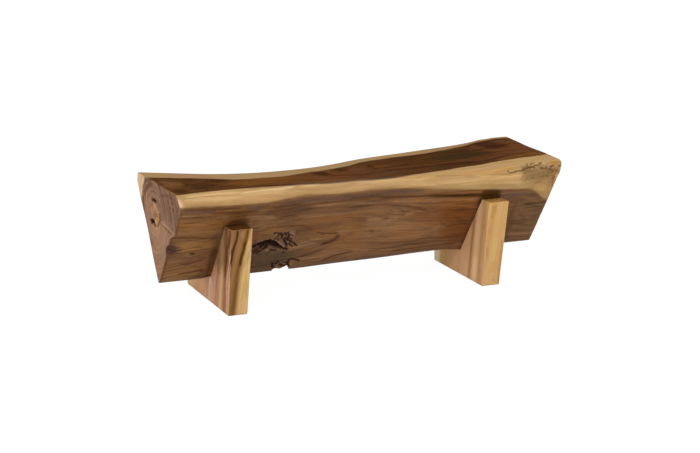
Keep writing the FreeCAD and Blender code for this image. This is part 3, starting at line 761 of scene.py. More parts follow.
HOLLOW_LINES = [
    ([(-398, 222), (-384, 228), (-366, 229), (-350, 222)], 12, 20),
    ([(-354, 222), (-336, 212), (-322, 204)], 9, 17),
    ([(-326, 206), (-313, 198)], 5.5, 12),
    ([(-403, 231), (-413, 221), (-419, 211)], 3.2, 8),
    ([(-430, 221), (-404, 228), (-390, 234)], 4.2, 10),
    ([(-426, 214), (-408, 222)], 3.6, 8),
    ([(-371, 214), (-382, 199), (-396, 188)], 4.6, 10),
    ([(-423, 194), (-401, 216)], 3.4, 8),
    ([(-416, 184), (-391, 210)], 3.6, 9),
    ([(-402, 182), (-379, 205)], 3.4, 7),
    ([(-352, 193), (-340, 186), (-331, 189)], 3.4, 6),
]
CRACKS = [
    ([(-362, 270), (-348, 269), (-337, 265), (-341, 255), (-349, 245)], 2.8, 5),
    ([(-319, 268), (-320, 259)], 3.4, 7),
    ([(-306, 267), (-309, 257)], 3.4, 7),
    ([(-330, 260), (-322, 254), (-324, 245)], 3.7, 7),
    ([(-336, 264), (-328, 259)], 3.0, 5),
    ([(-294, 255), (-285, 250)], 2.8, 5),
    ([(-297, 251), (-298, 242), (-309, 243)], 3.4, 7),
    ([(-311, 256), (-300, 250)], 3.0, 5),
    ([(-303, 237), (-295, 233), (-287, 222), (-271, 217), (-262, 208), (-254, 200)], 3.3, 7),
    ([(-316, 241), (-308, 229), (-303, 221), (-295, 210)], 3.7, 8),
    ([(-291, 217), (-278, 206), (-271, 201)], 3.3, 6),
    ([(-300, 217), (-294, 203)], 3.4, 7),
    ([(-302, 194), (-289, 189)], 5.6, 9),
    ([(-300, 179), (-296, 174)], 2.7, 4),
    ([(-338, 243), (-332, 233)], 2.7, 4),
    ([(-273, 264), (-268, 256)], 3.0, 2),
    ([(-334, 268), (-329, 262)], 2.7, 7),
    ([(-314, 262), (-308, 252), (-312, 246)], 2.7, 7),
    ([(-303, 262), (-299, 256)], 2.5, 7),
    ([(-292, 240), (-284, 236)], 2.7, 7),
    ([(-308, 238), (-300, 230)], 3.1, 8),
    ([(-286, 230), (-280, 224)], 2.5, 6),
]
CHIP_LINES = [
    ([(-328, 131), (-325, 122), (-321, 113)], 5.0, 7),
    ([(-316, 130), (-307, 136)], 4.5, 6),
    ([(-297, 123), (-284, 116)], 5.5, 7),
    ([(-282, 119), (-272, 119)], 4.0, 5),
    ([(-284, 132), (-269, 133), (-268, 141), (-258, 145), (-243, 140), (-228, 134)], 4.0, 7),
    ([(-269, 133), (-268, 121), (-262, 113)], 5.2, 8),
    ([(-268, 104), (-256, 99)], 4.5, 5),
    ([(-301, 105), (-309, 104)], 4.5, 5),
]
KNOTS = [
    ([(-654, 216), (-643, 214)], 4.4, 2.5),
]
BELT_CRACKS = [
    ([(506, 443), (514, 434), (530, 434), (541, 437), (561, 435), (571, 438), (584, 439)], 2.4, 3.2),
    ([(584, 439), (592, 441), (607, 443), (618, 438)], 3.2, 4.2),
    ([(620, 445), (633, 446), (652, 452)], 3.0, 4),
    ([(577, 456), (595, 454)], 2.4, 2.4),
    ([(601, 450), (617, 453), (624, 451)], 2.4, 3),
    ([(635, 455), (660, 457)], 2.4, 2.4),
    ([(643, 435), (656, 431), (671, 430)], 2.8, 3),
    ([(688, 436), (697, 439)], 4.4, 5),
    ([(689, 417), (714, 410)], 2.6, 2.6),
    ([(661, 397), (676, 395)], 2.4, 2.2),
    ([(688, 393), (701, 388)], 2.4, 2.2),
    ([(611, 401), (627, 400)], 2.4, 2),
    ([(642, 374), (657, 373), (666, 373)], 2.2, 1.8),
    ([(671, 384), (679, 384)], 2.2, 1.8),
]
# pale wood left standing in the hollow and beside the cracks: (points, width, colour, strength)
HOLLOW_LIGHTS = [
    ([(-377, 206), (-389, 201), (-397, 193)], 2.6, "chip_light", 0.7),
    ([(-361, 200), (-368, 192), (-360, 188)], 3.2, "chip_light", 0.6),
    ([(-350, 240), (-334, 232), (-317, 216), (-304, 201)], 3.4, "pink_grey", 0.95),
    ([(-356, 262), (-346, 258), (-350, 250)], 4.0, "pink_grey", 0.6),
    ([(-418, 236), (-400, 241), (-376, 244)], 3.0, "pink_grey", 0.5),
    ([(-316, 262), (-312, 246), (-300, 226), (-282, 212)], 4.0, "pink_grey", 0.6),
    ([(-310, 212), (-304, 200), (-296, 196)], 3.0, "pink_grey", 0.5),
    ([(-296, 110), (-290, 106)], 4.0, "chip_light", 0.5),
    ([(-258, 128), (-252, 118)], 7.0, "heart_pale", 0.7),
]

# chips broken from the keel: X with the height lost
CHIP_RISE = [
    (-322, 0), (-316, 5), (-304, 4), (-293, 3), (-280, 9), (-268, 13.5), (-262, 14), (-259, 7),
    (-256, 0),
]

# pith holes of the left end: lines through (y, z), half width and depth
PITH_HOLES = [
    ([(34, 385), (14, 390), (-8, 389)], 6.5, 12),
    ([(56, 303), (36, 309), (12, 308)], 7.5, 13),
    ([(14, 306), (8, 301)], 6, 10),
    ([(-20, 302), (-36, 316), (-46, 334), (-44, 352)], 3.4, 4),
]

# low swellings of the growth rings, that show as loops: x, z, reach along, reach up, height
RING_BUMPS = [
    (-118, 224, 80, 34, 26),
    (30, 232, 60, 30, 12),
    (170, 300, 90, 26, 14),
    (-655, 215, 36, 18, 12),
    (360, 226, 60, 22, 12),
    (-620, 330, 80, 22, 14),
    (640, 230, 60, 26, 12),
]
BACK_BUMPS = [
    (-430, 250, 110, 40, 26),
    (60, 300, 140, 36, 24),
    (420, 180, 90, 30, 18),
]

# Curves along the log

# small natural drifts: X with how far the keel rises and how far the back edge stands out
KEEL_DRIFT = [
    (-744, -3.5), (-600, -4), (-350, -4), (-200, -3.5), (-100, -1), (100, 1.5), (250, 5), (740, 6.5),
]
BACK_DRIFT = [
    (-740, 9), (-480, 9), (-300, 0), (-60, 2), (20, 8), (400, 8), (560, 10), (740, 10),
]
# wear of the right end's front arris and of the left end's back arris: Z with its depth
RIGHT_WEAR = [(120, 0), (200, 3.5), (300, 5), (340, 6), (425, 5), (447, 0)]
LEFT_WEAR = [(180, 0), (260, 2.5), (380, 3), (415, 5), (435, 4), (450, 1)]
# where the pith runs: X with its Y and with its Z
PITH_Y = [(-750, 24), (-500, -30), (-200, -60), (100, -30), (400, 0), (740, 30)]
PITH_Z = [(-750, 338), (-400, 322), (0, 330), (400, 318), (740, 320)]
# the crease of the left end: Y with Z
CREASE = [(-300, 300), (-174, 299), (-100, 309), (-14, 317), (60, 320)]
# how much darker the top is, and how much painted shade the belt takes low down, along X
TOP_SHADE = [
    (-740, 0.3), (-600, 0.5), (-450, 0.15), (-200, 0), (100, 0.42), (400, 0.58), (600, 0.1), (740, 0),
]
BELT_SHADE = [(-748, 0.3), (-480, 0.3), (-300, 0.4), (0, 0.6), (250, 0.75), (420, 0)]


class Log:
    """The log's points, their faces and how deep each was carved."""

    def __init__(self):
        grid = log_points()
        self.rings, self.columns = grid.shape[:2]
        ends = [np.array([LEFT_END, *CAP_CENTRE], float), np.array([RIGHT_END, *CAP_CENTRE], float)]
        self.base = np.vstack([grid.reshape(-1, 3), ends])
        self.zone = np.concatenate([np.tile(zone_of_columns(), self.rings), [0, 0]])
        ring = np.repeat(np.arange(self.rings), self.columns)
        last = self.rings - 1
        self.left_cap = np.concatenate([ring < CAP_RINGS, [True, False]])
        self.right_cap = np.concatenate([ring > last - CAP_RINGS, [False, True]])
        self.cap = self.left_cap | self.right_cap
        from_end = np.minimum(ring, last - ring)
        self.share = np.concatenate([np.clip((from_end + 1) / CAP_RINGS, 0, 1), [0, 0]])
        rim = np.clip(ring, CAP_RINGS, last - CAP_RINGS)
        column = np.tile(np.arange(self.columns), self.rings)
        self.rim = np.vstack([grid[rim, column], ends])
        self.depth = np.zeros(len(self.base))
        self.place = self.base.copy()

    def faces(self):
        """The quads between the rings, and a fan to the middle point of each end."""
        quads = log_quads(self.rings, self.columns).tolist()
        left, right = len(self.base) - 2, len(self.base) - 1
        last = (self.rings - 1) * self.columns
        for j in range(self.columns):
            following = (j + 1) % self.columns
            quads.append((left, j, following))
            quads.append((right, last + following, last + j))
        return quads

    def on(self, *zones):
        """1 on the named faces of the log, 0 elsewhere."""
        wanted = [ZONES.index(zone) for zone in zones]
        return (np.isin(self.zone, wanted) & ~self.cap).astype(float)

    def carve(self, u, v, mask, lines):
        """Sinks lines into a face of the log."""
        for points, half_width, depth in lines:
            near = near_line(u, v, points, 2 * half_width) & (mask > 0)
            gap, _ = distance_to(u[near], v[near], points)
            ragged = half_width * (0.65 + 0.7 * noise(u[near] / 5.5, v[near] / 5.5, half_width * 7))
            sunk = depth * (1 - ease(gap, 0.4 * ragged, 1.25 * ragged))
            self.depth[near] = np.maximum(self.depth[near], mask[near] * sunk)


# Relief that is left to this mesh

# straight into the sawn front
FRONT_IN = np.array((0, DEPTH, KEEL_FRONT - FRONT_REACH), float)
FRONT_IN /= np.linalg.norm(FRONT_IN)
DISH_DEPTH = 3
FIBRE_DEPTH = 1.8
LIVE_EDGE_WAVE = 1.6
EATEN_DEPTH = 1.8
TAPER_DEPTH = 20
SAW_MARKS = 0.25
# places along and up at which each begins, is full, fades and ends
DISH_ALONG = (-436, -400, -350, -290)
FIBRES_ALONG = (-436, -424, -330, -300)
FIBRES_UP = (166, 180, 232, 244)
EATEN_ALONG = (540, 600)
EATEN_UP = (380, 405, 446, 458)
TAPER_ALONG = (560, 715)
TAPER_UP = (338, 385, 405, 446)
# half of a leg's thickness at the notch
LEG_HALF = 38
BITE_PLACE = (LEFT_END, 238)
BITE_REACH = (19, 30)
BITE_DEPTH = 13
SKEW_REACH = 150
# how far the top's right end rises and reaches further, in front and behind
FRONT_RISE = 8
BACK_RISE = 3.5
FRONT_FURTHER = 5
BACK_FURTHER = 6
# steps of the left end above and below its crease
CREASE_SET = 9
CREASE_SWELL = 7
CAP_RIPPLE = 0.9
# scale of the growth rings and of the way round them
RING_SCALE = 230
TURN_SCALE = 160
LEFT_PITH = (PITH_Y[0][1], PITH_Z[0][1])
# radius of the dark ring seen on the left end
DARK_RING = 112


def hollow_fibres(x, z):
    """The slanting fibres that stand in the ragged hollow, from 0 to 1."""
    return noise((x - 1.1 * z) / 5.2, (x + z) / 24, 13)


def shape_log(log):
    """Moves the log's points to their carved and sawn places."""
    x, _, z = log.base.T
    log.carve(x, z, log.on("front", "keel"), HOLLOW_LINES + CRACKS + CHIP_LINES + KNOTS)
    log.carve(x, z, log.on("belt", "front"), BELT_CRACKS)
    front = log.on("front")
    dish = DISH_DEPTH * front * between(x, *DISH_ALONG) * ease(z, 215, 185)
    hollow = front * between(x, *FIBRES_ALONG) * between(z, *FIBRES_UP)
    fibres = FIBRE_DEPTH * hollow * hollow_fibres(x, z)
    wave = LIVE_EDGE_WAVE * log.on("belt", "back_round") * layered(x / 130, z / 40, 5, 2)
    live = log.on("belt", "front")
    eaten = live * ease(x, *EATEN_ALONG) * between(z, *EATEN_UP)
    rough = EATEN_DEPTH * eaten * layered(x / 9, z / 7, 9, 3)
    tapered = TAPER_DEPTH * live * ease(x, *TAPER_ALONG) * between(z, *TAPER_UP)
    saw = SAW_MARKS * log.on("front", "back") * layered(x / 70, z / 50, 15, 2)
    inward = np.tile(FRONT_IN, (len(x), 1))
    back_side = np.isin(log.zone, [ZONES.index("back_round"), ZONES.index("back")])
    inward[back_side] *= (1, -1, 1)
    total = log.depth + dish + fibres + wave + rough + tapered + saw + bite(log)
    log.place = log.base + inward * total[:, None]
    drift_keel(log)
    drift_edges(log)
    pith_holes(log)
    saw_ends(log)


def bite(log):
    """The piece broken out of the left end's front corner."""
    x, _, z = log.rim.T
    front = np.isin(log.zone, [ZONES.index("front"), ZONES.index("keel")])
    gap = np.hypot((x - BITE_PLACE[0]) / BITE_REACH[0], (z - BITE_PLACE[1]) / BITE_REACH[1])
    amount = BITE_DEPTH * ease(gap, 1.1, 0.2) * front
    return amount * ease(log.share, 0.55, 1) ** 2


def drift_keel(log):
    """Lets the keel's edge wander a little along the log, but not in the notches, and chips it."""
    x = log.base[:, 0]
    z = log.base[:, 2]
    free = ease(np.abs(x - LEFT_LEG_X), LEG_HALF, 80) * ease(np.abs(x - RIGHT_LEG_X), LEG_HALF, 120)
    log.place[:, 2] += through(KEEL_DRIFT, x) * free * ease(z, 190, 105)
    chipped = (x > CHIP_RISE[0][0]) & (x < CHIP_RISE[-1][0])
    chip = np.where(chipped, through(CHIP_RISE, x), 0)
    log.place[:, 2] += (chip > 0) * np.clip(KEEL_Z + chip - log.place[:, 2], 0, None)


def drift_edges(log):
    """Small natural drifts of the back edge and wear at the corners of both ends."""
    x, y, z = log.base.T
    back = ease(y, 30, 160) * ease(z, 330, 420)
    log.place[:, 1] += back * through(BACK_DRIFT, x)
    forward = ease(y, 150, -100)
    rise = FRONT_RISE * forward * ease(x, 440, 640) + BACK_RISE * (1 - forward) * ease(x, 640, 690)
    log.place[:, 2] += ease(z, 395, 450) * rise
    further = FRONT_FURTHER * ease(y, -30, -130) + BACK_FURTHER * ease(y, 20, 130)
    log.place[:, 0] += ease(x, 640, RIGHT_END) * ease(z, 425, 450) * further
    worn = through(RIGHT_WEAR, z) * ease(x, 660, RIGHT_END) * ease(y - front_plane(z), 90, 15)
    log.place[:, 0] -= worn * (1 + 0.25 * layered(z / 7, y / 30, 19, 2))
    worn = through(LEFT_WEAR, z) * ease(x, -690, LEFT_END) * ease(y - back_plane(z), -90, -20)
    log.place[:, 0] += worn


def pith_holes(log):
    """Sinks the pith holes into the left end."""
    y, z = log.base[:, 1], log.base[:, 2]
    before = log.depth.copy()
    log.depth[:] = 0
    log.carve(y, z, log.left_cap.astype(float), PITH_HOLES)
    log.place[:, 0] += log.depth
    log.depth = np.maximum(before, log.depth)


def saw_ends(log):
    """Turns both ends to their saw cuts, and steps the left end at its crease."""
    x, y, z = log.base.T
    left = ease(x, LEFT_END + SKEW_REACH, LEFT_END)
    right = ease(x, RIGHT_END - SKEW_REACH, RIGHT_END)
    log.place[:, 0] += left * left_end_shift(y) + right * right_end_shift(y, z)
    near = ease(x, LEFT_END + 30, LEFT_END)
    above = z - through(CREASE, y)
    forward = ease(y, -20, -190)
    step = np.where(above > 0, CREASE_SET * np.exp(-above / 110), -CREASE_SWELL * np.exp(above / 60))
    log.place[:, 0] += near * forward * step * ease(np.abs(above), 0, 5)
    ripple = CAP_RIPPLE * layered(y / 30 + z / 60, z / 14, 3, 2)
    log.place[:, 0] += log.left_cap * ripple * ease(log.share, 1, 0.93)


def growth_rings(log):
    """The growth rings as a distance from the wandering pith, and the way round them."""
    x, y, z = log.base.T
    _, half_width, half_height = trunk_at(x)
    u = (y - through(PITH_Y, x)) / half_width
    v = (z - through(PITH_Z, x)) / half_height
    ring = np.hypot(u, v) * RING_SCALE
    turn = np.arctan2(v, u) * TURN_SCALE
    ring = ring + 6 * layered(x / 190, turn / 120, 21, 2) + 12 * layered(x / 420, turn / 300, 22, 1)
    front = log.on("front")
    back = log.on("back")
    for mask, bumps in ((front, RING_BUMPS), (back, BACK_BUMPS)):
        for place_x, place_z, reach_x, reach_z, height in bumps:
            gap = ((x - place_x) / reach_x) ** 2 + ((z - place_z) / reach_z) ** 2
            ring = ring + mask * height * np.exp(-gap)
    return ring, turn


# Painting

def paint_log(log):
    """Colours every vertex and gives each how strongly its grain shows."""
    x, _, z = log.base.T
    ring, turn = growth_rings(log)
    figure = {
        "bands": layered(x / 520 + ring / 90, ring / 9, 31, 3),
        "lines": layered(x / 260 + ring / 60, ring / 3.4, 37, 2),
        "drift": layered(x / 300, ring / 28, 33, 2),
        "tint": layered(x / 260, turn / 60, 35, 2),
    }
    paint = Paint(len(x), "heart")
    paint_front(paint, log, figure)
    paint_top(paint, log, figure)
    share = sapwood_share(log)
    paint_sapwood(paint, log, figure, share)
    paint_ends(paint, log, share)
    paint_wear_and_shade(paint, log)
    pale = share * (1 - log.cap)
    strength = 1 - 0.62 * pale - 0.5 * log.cap * ease(z, 330, 290)
    return paint.colour / light_level(log)[:, None], strength, ring, turn


def light_level(log):
    """How bright white renders on each face, so that the colours can be given as seen."""
    z = log.base[:, 2]
    level = np.full(len(z), FRONT_LIGHT)
    level = level + (TOP_LIGHT - FRONT_LIGHT) * log.on("top")
    facing = log.on("belt") * ease(z, SEAT_Z - 60, SEAT_Z - 20)
    level = level + (BELT_LIGHT - FRONT_LIGHT) * facing
    level = np.where(log.left_cap, LEFT_END_LIGHT, level)
    return np.where(log.right_cap, RIGHT_END_LIGHT, level)


def paint_front(paint, log, figure):
    """Brown heartwood with darker and paler bands, what is seen on the front, and painted shade near the
    legs, above their ears and under the belt.
    """
    x, _, z = log.base.T
    paint.grown(figure, np.ones(len(x)), HEART_GROWTH)
    mask = log.on("front", "belt", "keel")
    paint.patches(x, z, mask, FRONT_PATCHES)
    paint.strokes(x, z, mask, FRONT_FIGURE)
    # painted shade on the log near the legs
    paint.patches(x, z, mask, LEG_SHADES)
    for edge, reach, top, strength in EAR_SHADES:
        right = edge + EAR_SLOPE * (top - z)
        shade = between(x, edge - reach - 24, edge - reach, right - 7, right + 3)
        shade = shade * between(z, top - 78, top - 60, top - 10, top + 4)
        paint.blend("shade", strength * shade * mask)
    paint.blend("heart_grey", 0.35 * mask * ease(z, 124, 106))


def paint_top(paint, log, figure):
    """The flat top, darker towards the right."""
    x, y, z = log.base.T
    top = log.on("top", "back_round") + log.on("belt") * ease(z, 438, 446)
    paint.blend("top", 0.85 * top)
    paint.grown(figure, top, TOP_GROWTH)
    paint.blend("top_deep", top * through(TOP_SHADE, x))
    paint.blend("top_pale", 0.5 * top * ease(x, 600, 680))
    paint.patches(x, y, top, TOP_PATCHES)
    paint.strokes(x, y, top, TOP_FIGURE)


def sapwood_share(log):
    """How much each point of the log is sapwood, from the boundaries seen on its faces."""
    x, y, z = log.base.T
    wobble = 2.5 * layered(x / 60, z / 30 + y / 30, 41, 2)
    above_line = ease(z - through(BELT_BOTTOM, x) + wobble, -4, 4)
    before_line = ease(through(BELT_TOP, x) - y + wobble, -4, 4)
    top_side = np.maximum(before_line, ease(z, 452, 446))
    belt = above_line * (log.on("front") + log.on("belt") * top_side)
    top = before_line * log.on("top")
    strip = ease(y - through(BACK_STRIP, x) + 2 * wobble, -6, 6) * log.on("top", "back_round")
    back_line = through(BELT_BOTTOM, x) - 25 + 14 * layered(x / 180, 0 * x, 43, 2)
    back = ease(z - back_line, -7, 7) * log.on("back", "back_round")
    below = 460 - z
    corner = 105 + 0.15 * below + 0.0045 * below**2
    left = log.left_cap * ease(y - corner + wobble, -5, 5)
    right_front = ease(z - 302 + wobble, -6, 6) * ease(y, -120, -140)
    right_back = ease(y, 170, 186) * ease(z, 330, 360)
    right = log.right_cap * np.maximum(right_front, right_back)
    return np.maximum.reduce([belt, top, strip, back, left, right])


def paint_sapwood(paint, log, figure, share):
    """The pale live edges, with painted shade below where they turn under."""
    x, y, z = log.base.T
    wood = Paint(len(x), "sapwood")
    wood.grown(figure, np.ones(len(x)), SAPWOOD_GROWTH)
    back = log.on("back_round", "back")
    behind = np.clip(back + log.on("top") * (y > -110), 0, 1)
    wood.blend("strip", 0.8 * behind)
    wood.blend("strip_pink", 0.6 * behind * ease(figure["drift"], 0, 0.7))
    belt = log.on("belt", "front")
    lift = z - through(BELT_BOTTOM, x)
    wood.blend("sapwood_tan", 0.55 * belt * ease(x, -250, -420))
    # painted shade low on the belt's left part
    wood.blend("sapwood_low", 0.35 * belt * ease(x, -250, -420) * ease(lift, 22, 4))
    wood.blend("sapwood_rough", 0.3 * belt * ease(x, 560, 660))
    # painted shade low on the belt's right end
    wood.blend("sapwood_low", 0.48 * belt * ease(x, 590, 650) * ease(z, 400, 372))
    wood.blend("sapwood_olive", 0.4 * belt * ease(x, 180, 320) * ease(lift, 44, 14))
    # painted shade low on the belt where it turns under, and more on its right part
    wood.blend("sapwood_low", through(BELT_SHADE, x) * belt * ease(lift, 14, 1))
    wood.blend("sapwood_low", 0.35 * belt * ease(lift, 30, 4) * ease(x, 200, 420))
    paint_eaten(wood, x, z, belt * ease(x, 545, 600) * between(z, 385, 405, 450, 457))
    wood.strokes(x, z, belt, BELT_FIGURE)
    wood.blend("cream", 0.85 * log.left_cap)
    amount = share[:, None]
    paint.colour = paint.colour * (1 - amount) + wood.colour * amount
    # a painted shadow just below the belt's lower edge
    edge = np.exp(-(((lift + 3) / 4) ** 2)) * log.on("front")
    paint.blend("belt_edge_shadow", 0.35 * edge)


def paint_eaten(wood, x, z, worn):
    """The insects' squiggles and specks in the live edge's right end."""
    squiggles = np.abs(2 * noise(x / 15 + z / 8, z / 6.5 - x / 30, 61) - 1)
    clusters = ease(noise(x / 26, z / 18, 63), 0.24, 0.5)
    wood.blend("umber", 0.8 * worn * ease(squiggles, 0.42, 0.12) * clusters)
    specks = noise(x / 7 + z / 9, z / 5 - x / 18, 67)
    lower = worn * ease(z, 440, 425)
    wood.blend("umber", 0.45 * lower * ease(specks, 0.62, 0.8))
    wood.blend("sapwood_pale", 0.5 * lower * ease(specks, 0.36, 0.2))


def paint_ends(paint, log, share):
    """The end grain: rings round the pith, greyer above the crease of the left end."""
    _, y, z = log.base.T
    left, right = log.left_cap.astype(float), log.right_cap.astype(float)
    heart = (left + right) * (1 - share)
    across, up = y - LEFT_PITH[0], z - LEFT_PITH[1]
    arc = np.hypot(across, up * 1.05) + 5 * layered(y / 50, z / 50, 51, 2)
    rings = layered(arc / 8, y / 160 + z / 200, 53, 2)
    paint.blend("end_tan", 0.95 * heart)
    paint.blend("end_pink", 0.6 * heart * ease(layered(y / 60, z / 45, 55, 2), -0.2, 0.7))
    paint.blend("end_deep", 0.35 * heart * ease(rings, 0.05, 0.7))
    paint.blend("end_light", 0.25 * heart * ease(rings, -0.1, -0.7))
    upper = ease(z - through(CREASE, y), -4, 8) * ease(y, 20, -30)
    upper = np.maximum(upper, ease(z, 390, 425))
    paint.blend("end_grey", 0.85 * heart * upper)
    paint.blend("end_deep", 0.9 * heart * upper * ease(rings, 0, 0.6))
    paint.blend("end_pink", 0.5 * heart * upper * ease(rings, -0.1, -0.7))
    arcs = np.exp(-(((np.hypot(across, up) - DARK_RING) / 12) ** 2)) * ease(y, 10, 60)
    paint.blend("end_deep", 0.7 * left * (1 - share) * arcs)
    paint.strokes(y, z, left, END_FIGURE)
    paint.blend("heart_deep", 0.45 * right * (1 - share))
    paint.blend("cream", 0.3 * right * share)


def paint_wear_and_shade(paint, log):
    """Darkens what is carved, with painted shade that deepens where it is carved deeper: the hollow, the
    cracks and the pith holes.
    """
    x, y, z = log.base.T
    front = log.on("front", "keel")
    inside = front * between(x, -434, -424, -330, -300) * between(z, 160, 180, 236, 246)
    paint.blend("heart_grey", 0.5 * inside)
    paint.blend("hollow_edge", 0.7 * inside * ease(hollow_fibres(x, z), 0.4, 0.8))
    paint.strokes(x, z, front, HOLLOW_LIGHTS)
    live_edge = ease(x, 470, 490) * ease(z, 355, 365)
    # painted shade, darker the deeper each point is carved
    paint.blend("hollow_edge", 0.8 * ease(log.depth, 0.3, 1.8) * (1 - live_edge))
    paint.blend("crack", 0.95 * ease(log.depth, 1.6, 4.5) * (1 - live_edge))
    paint.blend("hollow", 0.9 * ease(log.depth, 8, 15))
    paint.blend("belt_crack", 0.75 * ease(log.depth, 0.6, 2.6) * live_edge)
    edge = np.exp(-(((x - LEFT_END - 5) / 5) ** 2)) * log.on("front") * ease(z, 426, 416)
    paint.blend("umber", 0.45 * edge)
    corner = np.exp(-(((z - BITE_PLACE[1]) / 25) ** 2)) * log.on("front")
    corner = corner * ease(x, LEFT_END + 30, LEFT_END + 8)
    paint.blend("plum", 0.8 * corner)
    # the keel's underside painted darker: painted shade under the log
    paint.blend("heart_deep", 0.6 * log.on("keel"))
    arris = log.on("top") * ease(x, LEFT_END + 7, LEFT_END + 3) * (1 - sapwood_share(log))
    paint.blend("end_gold", 0.4 * arris * noise(y / 24, 0 * y, 71))


# Materials

def new_material(name):
    """An empty material."""
    material = bpy.data.materials.new(name)
    material.use_nodes = True
    material.node_tree.nodes.clear()
    return material


def plug(tree, socket, value):
    """Feeds an input with a value or with another node's output."""
    if isinstance(value, bpy.types.NodeSocket):
        tree.links.new(value, socket)
    else:
        socket.default_value = value


def add(tree, kind, settings=None, **inputs):
    """A node with its settings and its inputs."""
    made = tree.nodes.new(kind)
    for name, value in (settings or {}).items():
        setattr(made, name, value)
    for name, value in inputs.items():
        plug(tree, made.inputs[name.replace("_", " ")], value)
    return made


def mixed(tree, factor, first, second, blend_type="MIX"):
    """The colour between two colours."""
    made = tree.nodes.new("ShaderNodeMix")
    made.data_type = "RGBA"
    made.blend_type = blend_type
    for index, value in ((0, factor), (6, first), (7, second)):
        plug(tree, made.inputs[index], value)
    return made.outputs[2]


def ranged(tree, value, low, high, to_low=0.0, to_high=1.0, steps="SMOOTHSTEP"):
    """A value carried from one range to another. Low may be the greater."""
    made = add(tree, "ShaderNodeMapRange", {"interpolation_type": steps}, Value=value)
    for name, number in (("From Min", low), ("From Max", high), ("To Min", to_low), ("To Max", to_high)):
        plug(tree, made.inputs[name], number)
    return made.outputs["Result"]


def math_of(tree, operation, first, second=0.0):
    """One step of arithmetic on values or other nodes' outputs."""
    made = tree.nodes.new("ShaderNodeMath")
    made.operation = operation
    plug(tree, made.inputs[0], first)
    plug(tree, made.inputs[1], second)
    return made.outputs[0]


def times(tree, first, second):
    """Product of two values or outputs."""
    return math_of(tree, "MULTIPLY", first, second)


def plus(tree, first, second):
    """Sum of two values or outputs."""
    return math_of(tree, "ADD", first, second)


def minus(tree, first, second):
    """The first less the second."""
    return math_of(tree, "SUBTRACT", first, second)


def streaks(tree, coordinates, scale, detail, distortion=0.0):
    """Noise stretched by a scale for each direction."""
    stretched = add(tree, "ShaderNodeMapping", Vector=coordinates, Scale=scale)
    return add(
        tree,
        "ShaderNodeTexNoise",
        Vector=stretched.outputs["Vector"],
        Scale=1.0,
        Detail=detail,
        Roughness=0.6,
        Distortion=distortion,
    ).outputs["Fac"]


def grey(value):
    """A grey as a socket's colour."""
    return (value, value, value, 1)


def hex_colour(code, level=1.0):
    """An sRGB hex colour as seen under a light level, as a socket's colour."""
    return (*(linear(code) / level), 1)


def finish_surface(tree, colour, height, strength, distance, **inputs):
    """The material's shader with a fine relief, joined to its output."""
    bump = add(tree, "ShaderNodeBump", Height=height, Strength=strength, Distance=distance)
    normal = bump.outputs["Normal"]
    shader = add(tree, "ShaderNodeBsdfPrincipled", Base_Color=colour, Normal=normal, **inputs)
    output = tree.nodes.new("ShaderNodeOutputMaterial")
    tree.links.new(shader.outputs["BSDF"], output.inputs["Surface"])


def darkened(tree, colour, red, green, blue):
    """A colour times a level for each channel."""
    level = add(tree, "ShaderNodeCombineColor", Red=red, Green=green, Blue=blue).outputs[0]
    return mixed(tree, 1.0, colour, level, "MULTIPLY")


def wood_surface(tree, colour, coordinates, strength, sheen, gloss=0.52):
    """Grain, pores, sheen and relief over a wood colour. The coordinates' X runs along the grain."""
    broad = streaks(tree, coordinates, (3.2, 150, 150), 5.0)
    latewood = streaks(tree, coordinates, (2.2, 105, 105), 4.0, 0.4)
    fine = streaks(tree, coordinates, (14, 620, 620), 2.0)
    pores = streaks(tree, coordinates, (60, 1500, 1500), 1.0)
    warm = streaks(tree, coordinates, (2.4, 45, 45), 2.0)
    tone = times(tree, minus(tree, broad, 0.5), 1.25)
    tone = plus(tree, tone, times(tree, minus(tree, fine, 0.5), 0.5))
    dots = ranged(tree, pores, 0.6, 0.74)
    tone = minus(tree, tone, times(tree, dots, 0.22))
    lines = ranged(tree, latewood, 0.54, 0.66)
    tone = minus(tree, tone, times(tree, lines, 0.36))
    glints = ranged(tree, latewood, 0.44, 0.32)
    tone = plus(tree, tone, times(tree, glints, 0.26))
    tone = plus(tree, times(tree, tone, strength), 1.01)
    lift = times(tree, minus(tree, warm, 0.5), strength)
    red = times(tree, tone, plus(tree, times(tree, lift, 0.14), 1.0))
    blue = times(tree, tone, plus(tree, times(tree, lift, -0.3), 1.0))
    tinted = darkened(tree, colour, red, tone, blue)
    height = plus(tree, times(tree, broad, 0.5), times(tree, fine, 0.5))
    height = minus(tree, height, times(tree, dots, 0.5))
    rough = ranged(tree, broad, 0.3, 0.7, gloss - 0.06, gloss + 0.1)
    finish_surface(tree, tinted, height, 0.22, 0.0005, Roughness=rough, Specular_IOR_Level=sheen)


def log_material():
    """Takes the painted colours, the growth rings and the grain's strength from the mesh."""
    material = new_material("log_wood_figured")
    tree = material.node_tree
    kept = {"wood_colour": "Color", "grain": "Vector", "grain_strength": "Fac", "sheen": "Fac"}
    values = [
        add(tree, "ShaderNodeAttribute", {"attribute_name": name}).outputs[output]
        for name, output in kept.items()
    ]
    wood_surface(tree, *values)
    return material


def ramp(tree, value, stops, level):
    """A colour ramp with given stops, in millimetres, over a value in metres."""
    low, high = stops[0][0], stops[-1][0]
    share = ranged(tree, value, low * MM, high * MM, steps="LINEAR")
    made = add(tree, "ShaderNodeValToRGB", Fac=share)
    elements = made.color_ramp.elements
    while len(elements) < len(stops):
        elements.new(0.5)
    for element, (place, code) in zip(elements, stops):
        element.position = (place - low) / (high - low)
        element.color = hex_colour(code, level)
    return made.outputs["Color"]


# Stripes of the legs' grain as seen: place across the face in millimetres, colour

